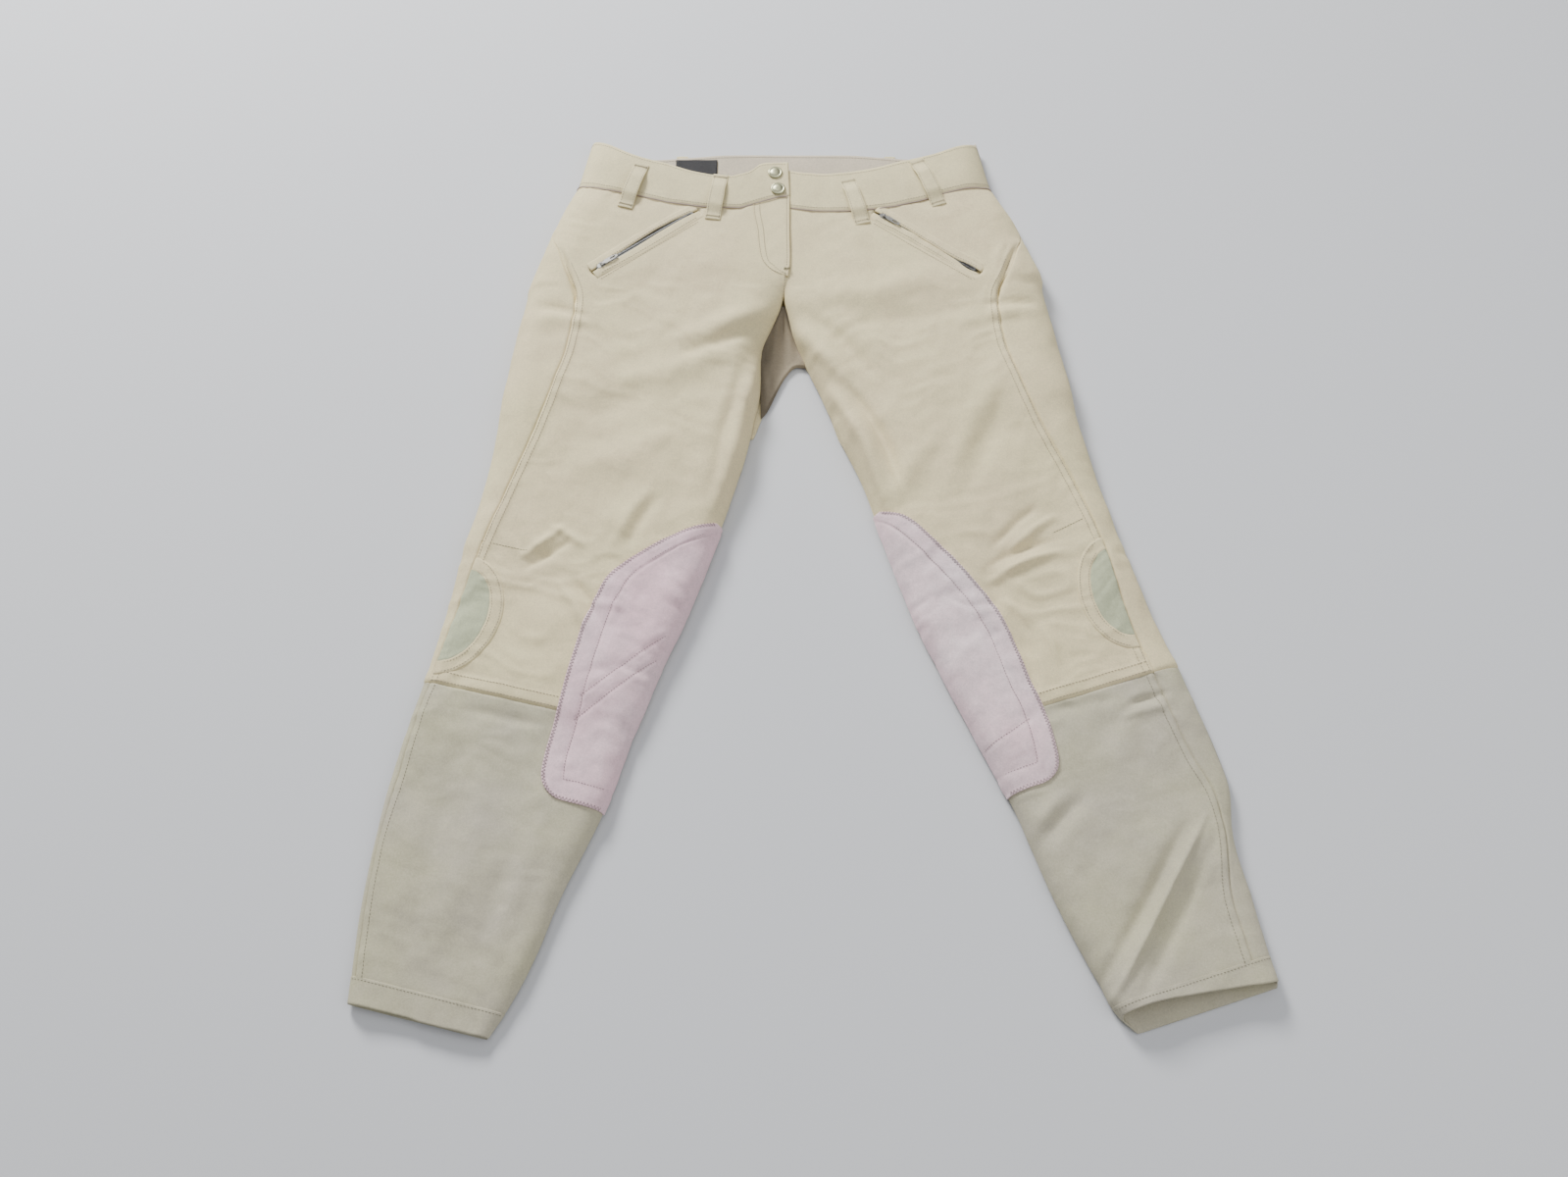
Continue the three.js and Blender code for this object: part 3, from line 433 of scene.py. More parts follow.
class Master:
    """The whole front surface of one half, folds included, as a fine grid that every piece reads."""

    def __init__(self, side, rows, columns):
        self.side = side
        self.t = np.linspace(0, WAIST, rows)
        _, _, arc, _, _ = side.profile(self.t)
        self.total = arc[:, -1]
        q = np.linspace(0, 1, columns)
        s = q[None] * self.total[:, None]
        plain, _, _ = side.top(self.t, s)
        # the waist seam dips between the belt loops, and the cloth below follows it
        sag = np.interp(plain[..., 0], *zip(*WAIST_SEAM[side.name]))
        order = np.argsort(plain[-1, :, 0])
        level = np.interp(plain[..., 0], plain[-1, order, 0], plain[-1, order, 1])
        plain[..., 1] += (sag - level) * step(self.t, 796, WAIST)[:, None]
        n = normals_of(plain, np.s_[:, columns // 3 :])
        tt = np.repeat(self.t[:, None], columns, axis=1)
        lift = relief(side, plain[..., 0], plain[..., 1], tt, s)
        closed = np.clip(side.row(self.t)[6], 0, 1)[:, None]
        lift *= 1 - closed * (1 - (0.35 + 0.65 * step(self.total[:, None] - s, 0, 16)))
        self.points = plain + n * lift[..., None]
        self.points[..., 2] = np.maximum(self.points[..., 2], FLOOR_Z + 1.2)
        self.normals = normals_of(self.points, np.s_[:, columns // 3 :])

    def at(self, t, s, lift=0.0):
        """Points and normals at rows t and arc distances s from the outer edge, lifted off the cloth."""
        t, s, lift = np.broadcast_arrays(*(np.asarray(value, float) for value in (t, s, lift)))
        rows, columns = self.points.shape[:2]
        i = np.clip(t / WAIST * (rows - 1), 0, rows - 1.001)
        j = np.clip(s / np.interp(t, self.t, self.total) * (columns - 1), 0, columns - 1.001)
        a, b = i.astype(int), j.astype(int)
        fi, fj = (i - a)[..., None], (j - b)[..., None]

        def read(grid):
            low = grid[a, b] * (1 - fj) + grid[a, b + 1] * fj
            high = grid[a + 1, b] * (1 - fj) + grid[a + 1, b + 1] * fj
            return low * (1 - fi) + high * fi

        n = unit(read(self.normals))
        return read(self.points) + n * lift[..., None], n

    def over(self, x, y, lift=0.0):
        """The same above plan points."""
        up = self.normals[..., 2] > 0.3
        p, n = self.points[up], self.normals[up]
        x, y = np.atleast_1d(np.asarray(x, float)), np.atleast_1d(np.asarray(y, float))
        nearest = np.array([np.argmin((p[:, 0] - a) ** 2 + (p[:, 1] - b) ** 2) for a, b in zip(x, y)])
        q, m = p[nearest], n[nearest]
        z = q[:, 2] - ((x - q[:, 0]) * m[:, 0] + (y - q[:, 1]) * m[:, 1]) / m[:, 2]
        return np.stack([x, y, z], axis=1) + m * lift, m

    def arc(self, t, across):
        """Arc distance from the outer edge of a point given across the leg."""
        t, across = np.asarray(t, float), np.asarray(across, float)
        d, _, arc, _, _ = self.side.profile(t)
        inner = smooth_curve([(row[0], row[1]) for row in self.side.leg], t)
        return np.array([arc[i, -1] - np.interp(inner[i] + across[i], d[i], arc[i]) for i in range(len(t))])


# ------------------------------------------------------------------ meshes
RIM = 0.45  # how far a sheet's rounded rim stands out, as a share of its thickness


def mesh_object(name, verts, faces, material, uv=None):
    """A smooth mesh from points in the garment's frame; uv is in millimetres of cloth."""
    mesh = bpy.data.meshes.new(name)
    mesh.from_pydata(((verts + ORIGIN) * MM).tolist(), [], [tuple(f) for f in faces])
    if uv is not None:
        layer = mesh.uv_layers.new(name="Cloth")
        index = np.empty(len(mesh.loops), np.int32)
        mesh.loops.foreach_get("vertex_index", index)
        layer.data.foreach_set("uv", (uv[index] * MM).astype(np.float32).ravel())
    mesh.update()
    obj = bpy.data.objects.new(name, mesh)
    bpy.context.collection.objects.link(obj)
    obj.data.materials.append(material)
    mesh.polygons.foreach_set("use_smooth", np.ones(len(mesh.polygons), bool))
    return obj


def volume(verts, faces):
    """Signed volume inside four-sided faces."""
    a, b, c, d = (verts[faces[:, k]] for k in range(4))
    return (np.einsum("ij,ij->i", a, np.cross(b, c)) + np.einsum("ij,ij->i", a, np.cross(c, d))).sum() / 6


def grid_faces(rows, columns, start, flip=False, wrap=False):
    i, j = np.meshgrid(np.arange(rows - 1), np.arange(columns if wrap else columns - 1), indexing="ij")
    k = (j + 1) % columns
    q = np.stack([i * columns + j, i * columns + k, (i + 1) * columns + k, (i + 1) * columns + j], axis=-1)
    q = q.reshape(-1, 4) + start
    return q[:, ::-1] if flip else q


def border_cells(rows, columns):
    """Row and column of each point round a grid's border, in order."""
    return np.array(
        [(0, j) for j in range(columns - 1)]
        + [(i, columns - 1) for i in range(rows - 1)]
        + [(rows - 1, j) for j in range(columns - 1, 0, -1)]
        + [(i, 0) for i in range(rows - 1, 0, -1)]
    )


def slab(grid, normal, thickness):
    """A closed sheet: the outer grid, an inner one below it, and a rounded rim."""
    rows, columns = grid.shape[:2]
    inner = grid - normal * thickness
    count = rows * columns
    border = border_cells(rows, columns)
    inward = np.clip(border, 1, [rows - 2, columns - 2])
    p, q = grid[tuple(border.T)], inner[tuple(border.T)]
    away = unit(p - grid[tuple(inward.T)])
    rim = (p + q) / 2 + away * thickness * RIM
    outer_id = border[:, 0] * columns + border[:, 1]
    inner_id = outer_id + count
    rim_id = 2 * count + np.arange(len(border))
    turn = np.roll(np.arange(len(border)), -1)
    faces = [
        grid_faces(rows, columns, 0),
        grid_faces(rows, columns, count, flip=True),
        np.stack([outer_id[turn], outer_id, rim_id, rim_id[turn]], axis=1),
        np.stack([rim_id[turn], rim_id, inner_id, inner_id[turn]], axis=1),
    ]
    verts, faces = np.concatenate([grid.reshape(-1, 3), inner.reshape(-1, 3), rim]), np.concatenate(faces)
    return verts, faces[:, ::-1] if volume(verts, faces) < 0 else faces


def grid_area(grid):
    a, b = np.diff(grid, axis=0)[:, :-1], np.diff(grid, axis=1)[:-1]
    return np.linalg.norm(np.cross(a, b), axis=-1).sum() * MM * MM


def cloth_uv(grid):
    """Millimetres of cloth across and along a grid, measured from its middle column."""
    columns = grid.shape[1]
    run = np.cumsum(np.linalg.norm(np.diff(grid, axis=1, prepend=grid[:, :1]), axis=-1), axis=1)
    rise = np.cumsum(np.linalg.norm(np.diff(grid, axis=0, prepend=grid[:1]), axis=-1), axis=0)
    middle_column = columns // 2
    return np.stack([run - run[:, [middle_column]], np.repeat(rise[:, [middle_column]], columns, 1)], -1)


def cloth_piece(name, grid, normal, thickness, material):
    """A closed sheet that knows its own flat size."""
    rows, columns = grid.shape[:2]
    verts, faces = slab(grid, normal, thickness)
    uv = cloth_uv(grid)
    flat, edge = uv.reshape(-1, 2), uv[tuple(border_cells(rows, columns).T)]
    obj = mesh_object(name, verts, faces, material, np.concatenate([flat, flat, edge]))
    obj["flat_w"] = np.linalg.norm(np.diff(grid, axis=1), axis=-1).sum(axis=1).max() * MM
    obj["flat_l"] = np.linalg.norm(np.diff(grid, axis=0), axis=-1).sum(axis=0).max() * MM
    obj["flat_a"] = grid_area(grid)
    return obj


def declare_sheet(obj):
    for key in ("flat_w", "flat_l", "flat_a"):
        del obj[key]


def metres(point, z):
    return [(point[0] + ORIGIN[0]) * MM, (point[1] + ORIGIN[1]) * MM, z]


KNEE_BEND = (330, 244)  # the stretch of the leg that bends, from its upper end to its lower
KNEE_AXIS_Z = 0.0229


def leg_blend(obj, side):
    start, end = (metres(side.leg_point(up, 0), KNEE_AXIS_Z) for up in KNEE_BEND)
    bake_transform(obj)


def fly_blend(obj):
    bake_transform(obj)


# ------------------------------------------------------------------ materials
def new_material(name):
    m = bpy.data.materials.new(name)
    m.use_nodes = True
    tree = m.node_tree
    tree.nodes.clear()
    out = tree.nodes.new("ShaderNodeOutputMaterial")
    shader = tree.nodes.new("ShaderNodeBsdfPrincipled")
    tree.links.new(shader.outputs[0], out.inputs[0])
    return m, tree, shader


def set_inputs(tree, target, inputs):
    """Gives a node's inputs their values, or the sockets they are read from."""
    for key, value in inputs.items():
        if isinstance(value, bpy.types.NodeSocket):
            tree.links.new(value, target.inputs[key])
        else:
            target.inputs[key].default_value = value


def node(tree, kind, inputs, **settings):
    n = tree.nodes.new("ShaderNode" + kind)
    for key, value in settings.items():
        setattr(n, key, value)
    set_inputs(tree, n, inputs)
    return n


def calc(tree, operation, a, b=0.0):
    return node(tree, "Math", {0: a, 1: b}, operation=operation).outputs[0]


def ramp(tree, value, low, high, first=0.0, last=1.0):
    return node(tree, "MapRange", {0: value, 1: low, 2: high, 3: first, 4: last}).outputs[0]


def grain(tree, place, scale, detail, rough=0.5, distortion=0.0):
    inputs = {"Vector": place, "Scale": scale, "Detail": detail, "Roughness": rough, "Distortion": distortion}
    return node(tree, "TexNoise", inputs).outputs[0]


def mix_colour(tree, factor, a, b):
    n = node(tree, "Mix", {}, data_type="RGBA")
    set_inputs(tree, n, {0: factor, 6: (*a, 1), 7: (*b, 1)})
    return n.outputs[2]


def bump_map(tree, height, strength, distance, below=None):
    inputs = {"Height": height, "Strength": strength, "Distance": distance}
    return node(tree, "Bump", inputs | ({"Normal": below} if below else {})).outputs[0]


def shade(colour, k):
    return tuple(min(1, c * k) for c in colour)


def weave_height(tree, weave, u, v, place, pitch):
    """The threads' height for a weave with a pitch in millimetres."""
    k = 2 * math.pi / (pitch * MM)

    def wave(value, factor=1.0):
        return calc(tree, "SINE", calc(tree, "MULTIPLY", value, k * factor))

    if weave == "suede":
        return calc(tree, "SUBTRACT", grain(tree, place, 1600.0, 3.0, 0.6), 0.5)
    if weave == "plain":
        return calc(tree, "MULTIPLY", wave(u), wave(v))
    if weave == "twill":
        warp, weft = wave(calc(tree, "ADD", u, v)), wave(calc(tree, "SUBTRACT", v, u), 1.9)
    else:
        warp, weft = wave(u), wave(v, 1.3)
    return calc(tree, "ADD", calc(tree, "MULTIPLY", warp, 0.7), calc(tree, "MULTIPLY", weft, 0.3))


def cloth_material(name, colour, weave, pitch, depth, sheen, rough, mottle, warm=None, nap=0.0, painted_shade_span=None):
    """Cloth: weave, fibre and wear. `warm` is the colour it drifts to, `nap` brushes it, and the last
    argument
    paints shade on it: darker across u from the first value to the second."""
    m, tree, shader = new_material(name)
    coords = node(tree, "TexCoord", {})
    place = coords.outputs["Object"]
    u, v, _ = node(tree, "SeparateXYZ", {0: coords.outputs["UV"]}).outputs
    height = weave_height(tree, weave, u, v, place, pitch)
    fuzz = grain(tree, place, 700.0, 4.0, 0.65)
    patchy = grain(tree, place, 46.0, 4.0, 0.6)
    layers = [
        ramp(tree, patchy, 0.3, 0.7, 1 - mottle, 1 + mottle),
        ramp(tree, fuzz, 0.3, 0.7, 0.9, 1.1),
        ramp(tree, grain(tree, place, 300.0, 5.0, 0.75), 0.35, 0.65, 0.955, 1.045),
        ramp(tree, height, -1.0, 1.0, 0.94, 1.05),
    ]
    if nap:
        layers.append(ramp(tree, grain(tree, place, 120.0, 6.0, 0.7, 0.6), 0.3, 0.7, 1 - nap, 1 + nap))
    # painted shade: the colour is darkened across u between the two given values
    if painted_shade_span:
        layers.append(ramp(tree, u, *painted_shade_span, 0.42, 1.0))
    value = layers[0]
    for layer in layers[1:]:
        value = calc(tree, "MULTIPLY", value, layer)
    drift = ramp(tree, grain(tree, place, 9.0, 5.0, 0.6), 0.35, 0.68)
    tone = mix_colour(tree, drift, colour, warm or shade(colour, 0.86))
    first = bump_map(tree, height, depth, 0.00022)
    second = bump_map(tree, fuzz, 0.35, 0.0003, first)
    set_inputs(tree, shader, {
        "Base Color": node(tree, "VectorMath", {0: tone, 1: value}, operation="MULTIPLY").outputs[0],
        "Roughness": ramp(tree, patchy, 0.3, 0.7, rough - 0.06, min(1, rough + 0.06)),
        "Sheen Weight": sheen,
        "Sheen Roughness": 0.5,
        "Sheen Tint": (*shade(colour, 1.3), 1),
        "Specular IOR Level": 0.25,
        "Normal": bump_map(tree, patchy, 0.3, 0.0012, second),
    })
    return m


def thread_material(name, colour):
    m, tree, shader = new_material(name)
    place = node(tree, "TexCoord", {}).outputs["Object"]
    twist = {"Vector": place, "Scale": 900.0, "Distortion": 2.0}
    wave = node(tree, "TexWave", twist, bands_direction="DIAGONAL").outputs[1]
    set_inputs(tree, shader, {
        "Base Color": mix_colour(tree, wave, shade(colour, 0.8), shade(colour, 1.1)),
        "Roughness": 0.6,
        "Sheen Weight": 0.2,
        "Normal": bump_map(tree, wave, 0.4, 0.0001),
    })
    return m


def metal_material(name, colour, rough, wear):
    m, tree, shader = new_material(name)
    place = node(tree, "TexCoord", {}).outputs["Object"]
    scratch = grain(tree, place, 420.0, 6.0, 0.7)
    tarnish = ramp(tree, grain(tree, place, 160.0, 4.0), 0.4, 0.7, 0.0, wear)
    set_inputs(tree, shader, {
        "Base Color": mix_colour(tree, tarnish, colour, shade(colour, 0.45)),
        "Metallic": 1.0,
        "Roughness": ramp(tree, scratch, 0.3, 0.7, rough, rough + 0.22),
        "Normal": bump_map(tree, scratch, 0.12, 0.0001),
    })
    return m


# cloth: colour, weave, pitch in mm, depth of the weave, sheen, roughness, mottling
TWILL = cloth_material("beige_twill", (0.73, 0.645, 0.385), "twill", 0.8, 0.3, 0.25, 0.9, 0.035,
                       warm=(0.72, 0.615, 0.385))
BAND_TWILL = cloth_material("band_twill", (0.745, 0.66, 0.40), "twill", 0.8, 0.3, 0.25, 0.9, 0.05)
# painted shade: the crotch web gets a dark twill colour, darkest towards the right leg's inner edge, for the
# shade between the legs
WEB_PAINTED_SHADE_TWILL = cloth_material("web_twill_painted_shade", (0.34, 0.285, 0.205), "twill", 0.8, 0.3, 0.2, 0.95, 0.06,
                           painted_shade_span=(-0.016, 0.012))
CALF = cloth_material("calf_stretch", (0.49, 0.46, 0.31), "rib", 0.9, 0.4, 0.3, 0.85, 0.05,
                      warm=(0.485, 0.445, 0.35))
INSERT = cloth_material("insert_knit", (0.49, 0.52, 0.345), "rib", 1.1, 0.45, 0.3, 0.85, 0.05)
SUEDE = {
    "right": cloth_material("lilac_suede", (0.74, 0.515, 0.56), "suede", 0.5, 0.5, 0.7, 1.0, 0.05,
                            warm=(0.72, 0.58, 0.60), nap=0.08),
    "left": cloth_material("lilac_suede_worn", (0.74, 0.53, 0.565), "suede", 0.5, 0.5, 0.7, 1.0, 0.05,
                           warm=(0.73, 0.61, 0.62), nap=0.09),
}
LINING = cloth_material("lining_cotton", (0.62, 0.545, 0.42), "plain", 0.6, 0.3, 0.2, 0.95, 0.04)
TAPE = cloth_material("zip_tape", (0.12, 0.11, 0.09), "plain", 0.7, 0.5, 0.1, 0.9, 0.04)
LABEL = cloth_material("black_satin", (0.016, 0.015, 0.017), "plain", 0.4, 0.3, 0.15, 0.55, 0.1)
THREAD = thread_material("beige_thread", (0.33, 0.275, 0.19))
PALE_THREAD = thread_material("lilac_thread", (0.23, 0.15, 0.165))
CALF_THREAD = thread_material("calf_thread", (0.24, 0.22, 0.155))
LABEL_THREAD = thread_material("black_thread", (0.03, 0.03, 0.03))
DARK_THREAD = thread_material("olive_thread", (0.16, 0.15, 0.09))
PIPING = thread_material("seam_piping", (0.40, 0.31, 0.27))
# metal: colour, roughness, tarnish
SNAP = metal_material("snap_nickel", (0.44, 0.435, 0.28), 0.3, 0.5)
TEETH = metal_material("zip_metal", (0.15, 0.15, 0.15), 0.42, 0.5)
SLIDER = metal_material("slider_metal", (0.33, 0.325, 0.31), 0.32, 0.4)


# ------------------------------------------------------------------ stitches
def ring_faces(rings, sides):
    """Faces of a closed tube: its wall and its two ends."""
    wall = [tuple(f) for f in grid_faces(rings, sides, 0, wrap=True)]
    last = (rings - 1) * sides
    return wall + [tuple(range(sides - 1, -1, -1)), tuple(range(last, last + sides))]


def dashes(name, line, normal, material, length=2.3, pitch=3.1, radius=0.3, lift=0.12):
    """A row of sewn stitches along a line of points that lies on the cloth."""
    at = distances(line)
    count = int(at[-1] // pitch)
    starts = (np.arange(count) + 0.5) * at[-1] / count - length / 2
    # each stitch is a short tube that dips into the cloth at its ends
    share = np.array([0.0, 0.22, 0.5, 0.78, 1.0])
    size = np.array([0.35, 0.9, 1.0, 0.9, 0.35])
    sink = np.array([-0.34, 0.02, 0.10, 0.02, -0.34])
    sides = 6
    pos = starts[:, None] + share[None] * length
    p, n = read_line(pos, at, line), unit(read_line(pos, at, normal))
    b = np.cross(unit(np.gradient(p, axis=1)), n)
    p = p + n * (lift + sink[None, :, None])
    ring = (np.arange(sides) * 2 * math.pi / sides)[None, None, :, None]
    flattened = np.cos(ring) * b[:, :, None] + 0.8 * np.sin(ring) * n[:, :, None]
    verts = p[:, :, None] + radius * size[None, :, None, None] * flattened
    one = ring_faces(len(share), sides)
    stride = len(share) * sides
    faces = [tuple(k + i * stride for k in face) for i in range(count) for face in one]
    return mesh_object(name, verts.reshape(-1, 3), faces, material)


def tube(name, line, radius, material, sides):
    side = unit(np.cross(unit(np.gradient(line, axis=0)), [0, 0, 1.0]))
    up = np.cross(side, unit(np.gradient(line, axis=0)))
    ring = (np.arange(sides) * 2 * math.pi / sides)[None, :, None]
    verts = line[:, None] + radius * (np.cos(ring) * side[:, None] + np.sin(ring) * up[:, None])
    return mesh_object(name, verts.reshape(-1, 3), ring_faces(len(line), sides), material)


def zigzag(line, normal, width, pitch):
    at = distances(line)
    count = int(at[-1] / pitch) * 2
    s = np.linspace(0, at[-1], count + 1)
    p, n = read_line(s, at, line), read_line(s, at, normal)
    across = unit(np.cross(np.gradient(p, axis=0), n))
    sign = np.where(np.arange(count + 1) % 2 == 0, 1.0, -1.0)[:, None]
    return p + across * sign * width / 2 + n * 0.15


# ------------------------------------------------------------------ panels
STEP_T, STEP_Q = ((560, 240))
for side in SIDES:
    side.master = Master(side, STEP_T, STEP_Q)

# distances from a side seam at which the cloth has a line of points
SEAM_FINE = (0.0, 0.7, 1.5, 2.6, 4.0, 6.0, 8.0, 9.4, 11.0, 13.5)
PITCH = 2.6


def seam_dip(distance):
    return -1.3 * bump(distance, 0, 1.1)


def seam_shape(distance):
    """The groove of a seam and the ridge of the allowance pressed under it."""
    allowance = step(distance, 0.4, 2.2) * (1 - step(distance, 8.6, 10.6))
    return seam_dip(distance) + 0.6 * allowance


def puckers(side, along, distance, amount=0.22, pitch=7.0):
    """Short ripples that a sewn line draws in the cloth beside it."""
    long_wave = noise(along / pitch, 3.3, side.seed + 9)
    short_wave = noise(along / (pitch * 0.45), 7.7, side.seed + 10)
    return amount * (long_wave + 0.6 * short_wave) * bump(distance, 0, 9.0)


def underside(side, t, count, inner_edge=None, low=None, flat=0.0):
    """Rows of the back layer from the outer edge to the inner edge, lying on the floor.

    low: its height. flat: how far its inner edge lies down on the floor, 0 to 1."""
    ax, ay, bx, by, _, _, _, bend = side.row(t)
    if inner_edge is not None:
        ax, ay = inner_edge
    fine = np.array([0, 0.006, 0.016, 0.032])
    share = np.concatenate([fine, np.linspace(0.055, 0.945, count), [0.968, 0.984, 0.994, 1.0]])
    length = np.hypot(bx - ax, by - ay)
    floor_z = FLOOR_LEG_Z if low is None else low
    grid = np.empty((len(t), len(share), 3))
    for j, u in enumerate(share):
        x = bx + (ax - bx) * u
        y = by + (ay - by) * (1 - (1 - u) ** bend)
        rise = quarter_round(min(u, 1 - u) * length, 7)
        wave = 0.35 * (1 + noise(x / 45, y / 60, side.seed + 20)) * rise
        edge_z = EDGE_Z + (floor_z - EDGE_Z) * (flat if u > 0.5 else 0.0)
        grid[:, j] = np.stack([x, y, edge_z + (floor_z - edge_z) * rise + wave], axis=-1)
    return grid


# rows t of the trunk and the y of the centre front there
TRUNK_T, TRUNK_Y = [748, 782, 824, WAIST], [8, 41, 83, 124]
# how far the J-shaped stitching runs from the fly's edge: (y, distance)
FLY_CURVE = [(30, 0), (32, 3), (34, 9), (37, 16), (42, 22.5), (50, 28), (57, 30), (89, 33), (115, 37),
             (124, 37)]


def fly_width(t):
    """Arc distance from the fly's edge to the J-shaped stitching, at rows t."""
    y = np.interp(t, TRUNK_T, TRUNK_Y)
    foot, head = FLY_CURVE[0][0], FLY_CURVE[-1][0]
    return np.where(y > foot, np.clip(smooth_curve(FLY_CURVE, np.clip(y, foot, head)), 0, None), 0.0)


def knee_dip(t):
    return -1.1 * bump(t, CALF_SEAM, 1.2)


def seam_groove(t):
    """The crosswise seams: below the knee, with its facing band above, and at the waistband."""
    facing = step(t, CALF_SEAM + 0.8, CALF_SEAM + 2.6) * (1 - step(t, CALF_SEAM + 12.5, CALF_SEAM + 14.2))
    return knee_dip(t) + 0.55 * facing - 0.8 * bump(t, WAIST, 1.6)


def rows_between(low, high, pitch, fine_low=(), fine_high=()):
    """Rows from low to high: set distances near the ends, an even pitch between."""
    a = [low + d for d in fine_low]
    b = [high - d for d in fine_high][::-1]
    lo, hi = (a[-1] if a else low), (b[0] if b else high)
    mid = np.linspace(lo, hi, max(2, int(round((hi - lo) / pitch)) + 1))
    return np.concatenate([a[:-1], mid, b[1:]])


def columns_between(low, high, count, fine_low=(), fine_high=()):
    """Columns for every row between two curves: set distances near the ends, even spacing between."""
    a = [low + d for d in fine_low]
    b = [high - d for d in fine_high][::-1]
    lo, hi = (a[-1] if a else low), (b[0] if b else high)
    mid = lo[:, None] + (hi - lo)[:, None] * np.linspace(0, 1, count)[None]
    parts = [np.stack(a[:-1], axis=1)] if len(a) > 1 else []
    parts.append(mid)
    if len(b) > 1:
        parts.append(np.stack(b[1:], axis=1))
    return np.concatenate(parts, axis=1)


sheets = []


def piece(name, grid, thickness, material, nodes=(), body=None, rests_on=(), side=None, fly=False,
          normal=None):
    """A cloth piece that hides the CAD nodes it replaces, is attached, and is kept in the list of sheets."""
    normal = normals_of(grid) if normal is None else normal
    obj = cloth_piece(name, grid, normal, thickness, material)
    if nodes:
        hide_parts(*nodes)
    attach(obj, body, side, fly)
    sheets.append((obj, list(rests_on)))
    return obj


def attach(obj, body=None, side=None, fly=False):
    """Moves with a body; a leg's pieces and the fly's only have their transform baked into the mesh."""
    if side is not None:
        leg_blend(obj, side)
    elif fly:
        fly_blend(obj)
    else:
        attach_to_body(obj, body or "pelvis")


def sew(name, side, t, s, material=THREAD, lift=0.0, **options):
    """Stitches along a line on the front surface of a leg."""
    attach(dashes(name, *side.master.at(t, s, lift), material, **options), side=side)


# the back panels' inner edges from the fork to the waist: (row, x, y)
BACK_FORK = {
    "right": [(600, -34.8, -132), (612, -34, -141), (640, -23, -112), (675, -5, -66), (712, 10, -50),
              (748, 7, -15), (782, 3, 40), (WAIST, 0, 164)],
    "left": [(600, 57, -154), (612, 52.6, -143), (640, 43.6, -114.5), (675, 34, -82), (712, 16.5, -51),
             (748, 9, -15), (782, 3.4, 40), (WAIST, 0.4, 164)],
}

def front_panel(side):
    """Thigh and hip: up to the waist, and from the side seam to the inner edge or the fly."""
    name, m = side.name, side.master
    t = rows_between(CALF_SEAM, WAIST, PITCH, (0, 0.8, 1.8, 3.0, 5.5, 8, 11, 12.5, 14.2), (0, 1, 2.5, 5))
    outer = side.seam_arc(t)
    inner = np.interp(t, m.t, m.total) - (fly_width(t) if side is RIGHT else 0)
    s = columns_between(outer, inner, int(250 / PITCH), SEAM_FINE, (0, 1.0, 2.5))
    t = t[:, None]
    beside = s - outer[:, None]
    puff = seam_shape(beside) * step(t, 300, 306) * (1 - step(t, 770, 800)) + seam_groove(t)
    puff = puff + puckers(side, t, beside) + puckers(side, s, t - CALF_SEAM, 0.16)
    puff = puff + puckers(side, s, (WAIST - t) * 0.6, 0.6, 10)
    grid, normal = m.at(t, s, puff)
    piece(f"{name}_front_cloth", grid, CLOTH, TWILL, [f"{name}_front_panel"], side=side,
          rests_on=[f"{name}_back_cloth"], normal=normal)


def wrapped(side, t, columns, puff, pucker):
    """The strip of a back panel that comes over the outer edge to the side seam, from the edge inwards."""
    seam = side.seam_arc(t)
    s = np.maximum(columns_between(np.zeros(len(t)), seam, columns, (0.0, 0.6), (0.0, 0.7, 1.5, 2.6)), 0)
    beside = seam[:, None] - s
    wave = puckers(side, t[:, None], beside) if pucker else 0
    grid, _ = side.master.at(t[:, None], s, seam_dip(beside) + puff[:, None] + wave)
    return grid[:, ::-1][:, :-1]


def back_panel(side):
    """From the side seam over the outer edge, then under the hip and leg."""
    name = side.name
    t = rows_between(CALF_SEAM, WAIST, PITCH * 1.7, (0, 1, 2.5, 5), (0, 1, 3))
    wrap = wrapped(side, t, 20, seam_groove(t), True)
    ax, ay = side.row(t)[:2]
    fork = BACK_FORK[name]
    fx, fy = (smooth_curve([(row[0], row[k]) for row in fork], np.maximum(t, fork[0][0])) for k in (1, 2))
    mix = step(t, 585, 612)
    flat = step(t, 596, 614) * (1 - step(t, 748, 782))
    low = np.interp(t, [745, 800], [FLOOR_LEG_Z, FLOOR_Z])
    floor = underside(side, t, 44, (ax + (fx - ax) * mix, ay + (fy - ay) * mix), low, flat)
    whole = np.concatenate([wrap, floor], axis=1)
    piece(f"{name}_back_cloth", whole, CLOTH, TWILL, [f"{name}_back_panel"], side=side,
          normal=normals_of(whole, np.s_[:, 0:6]))


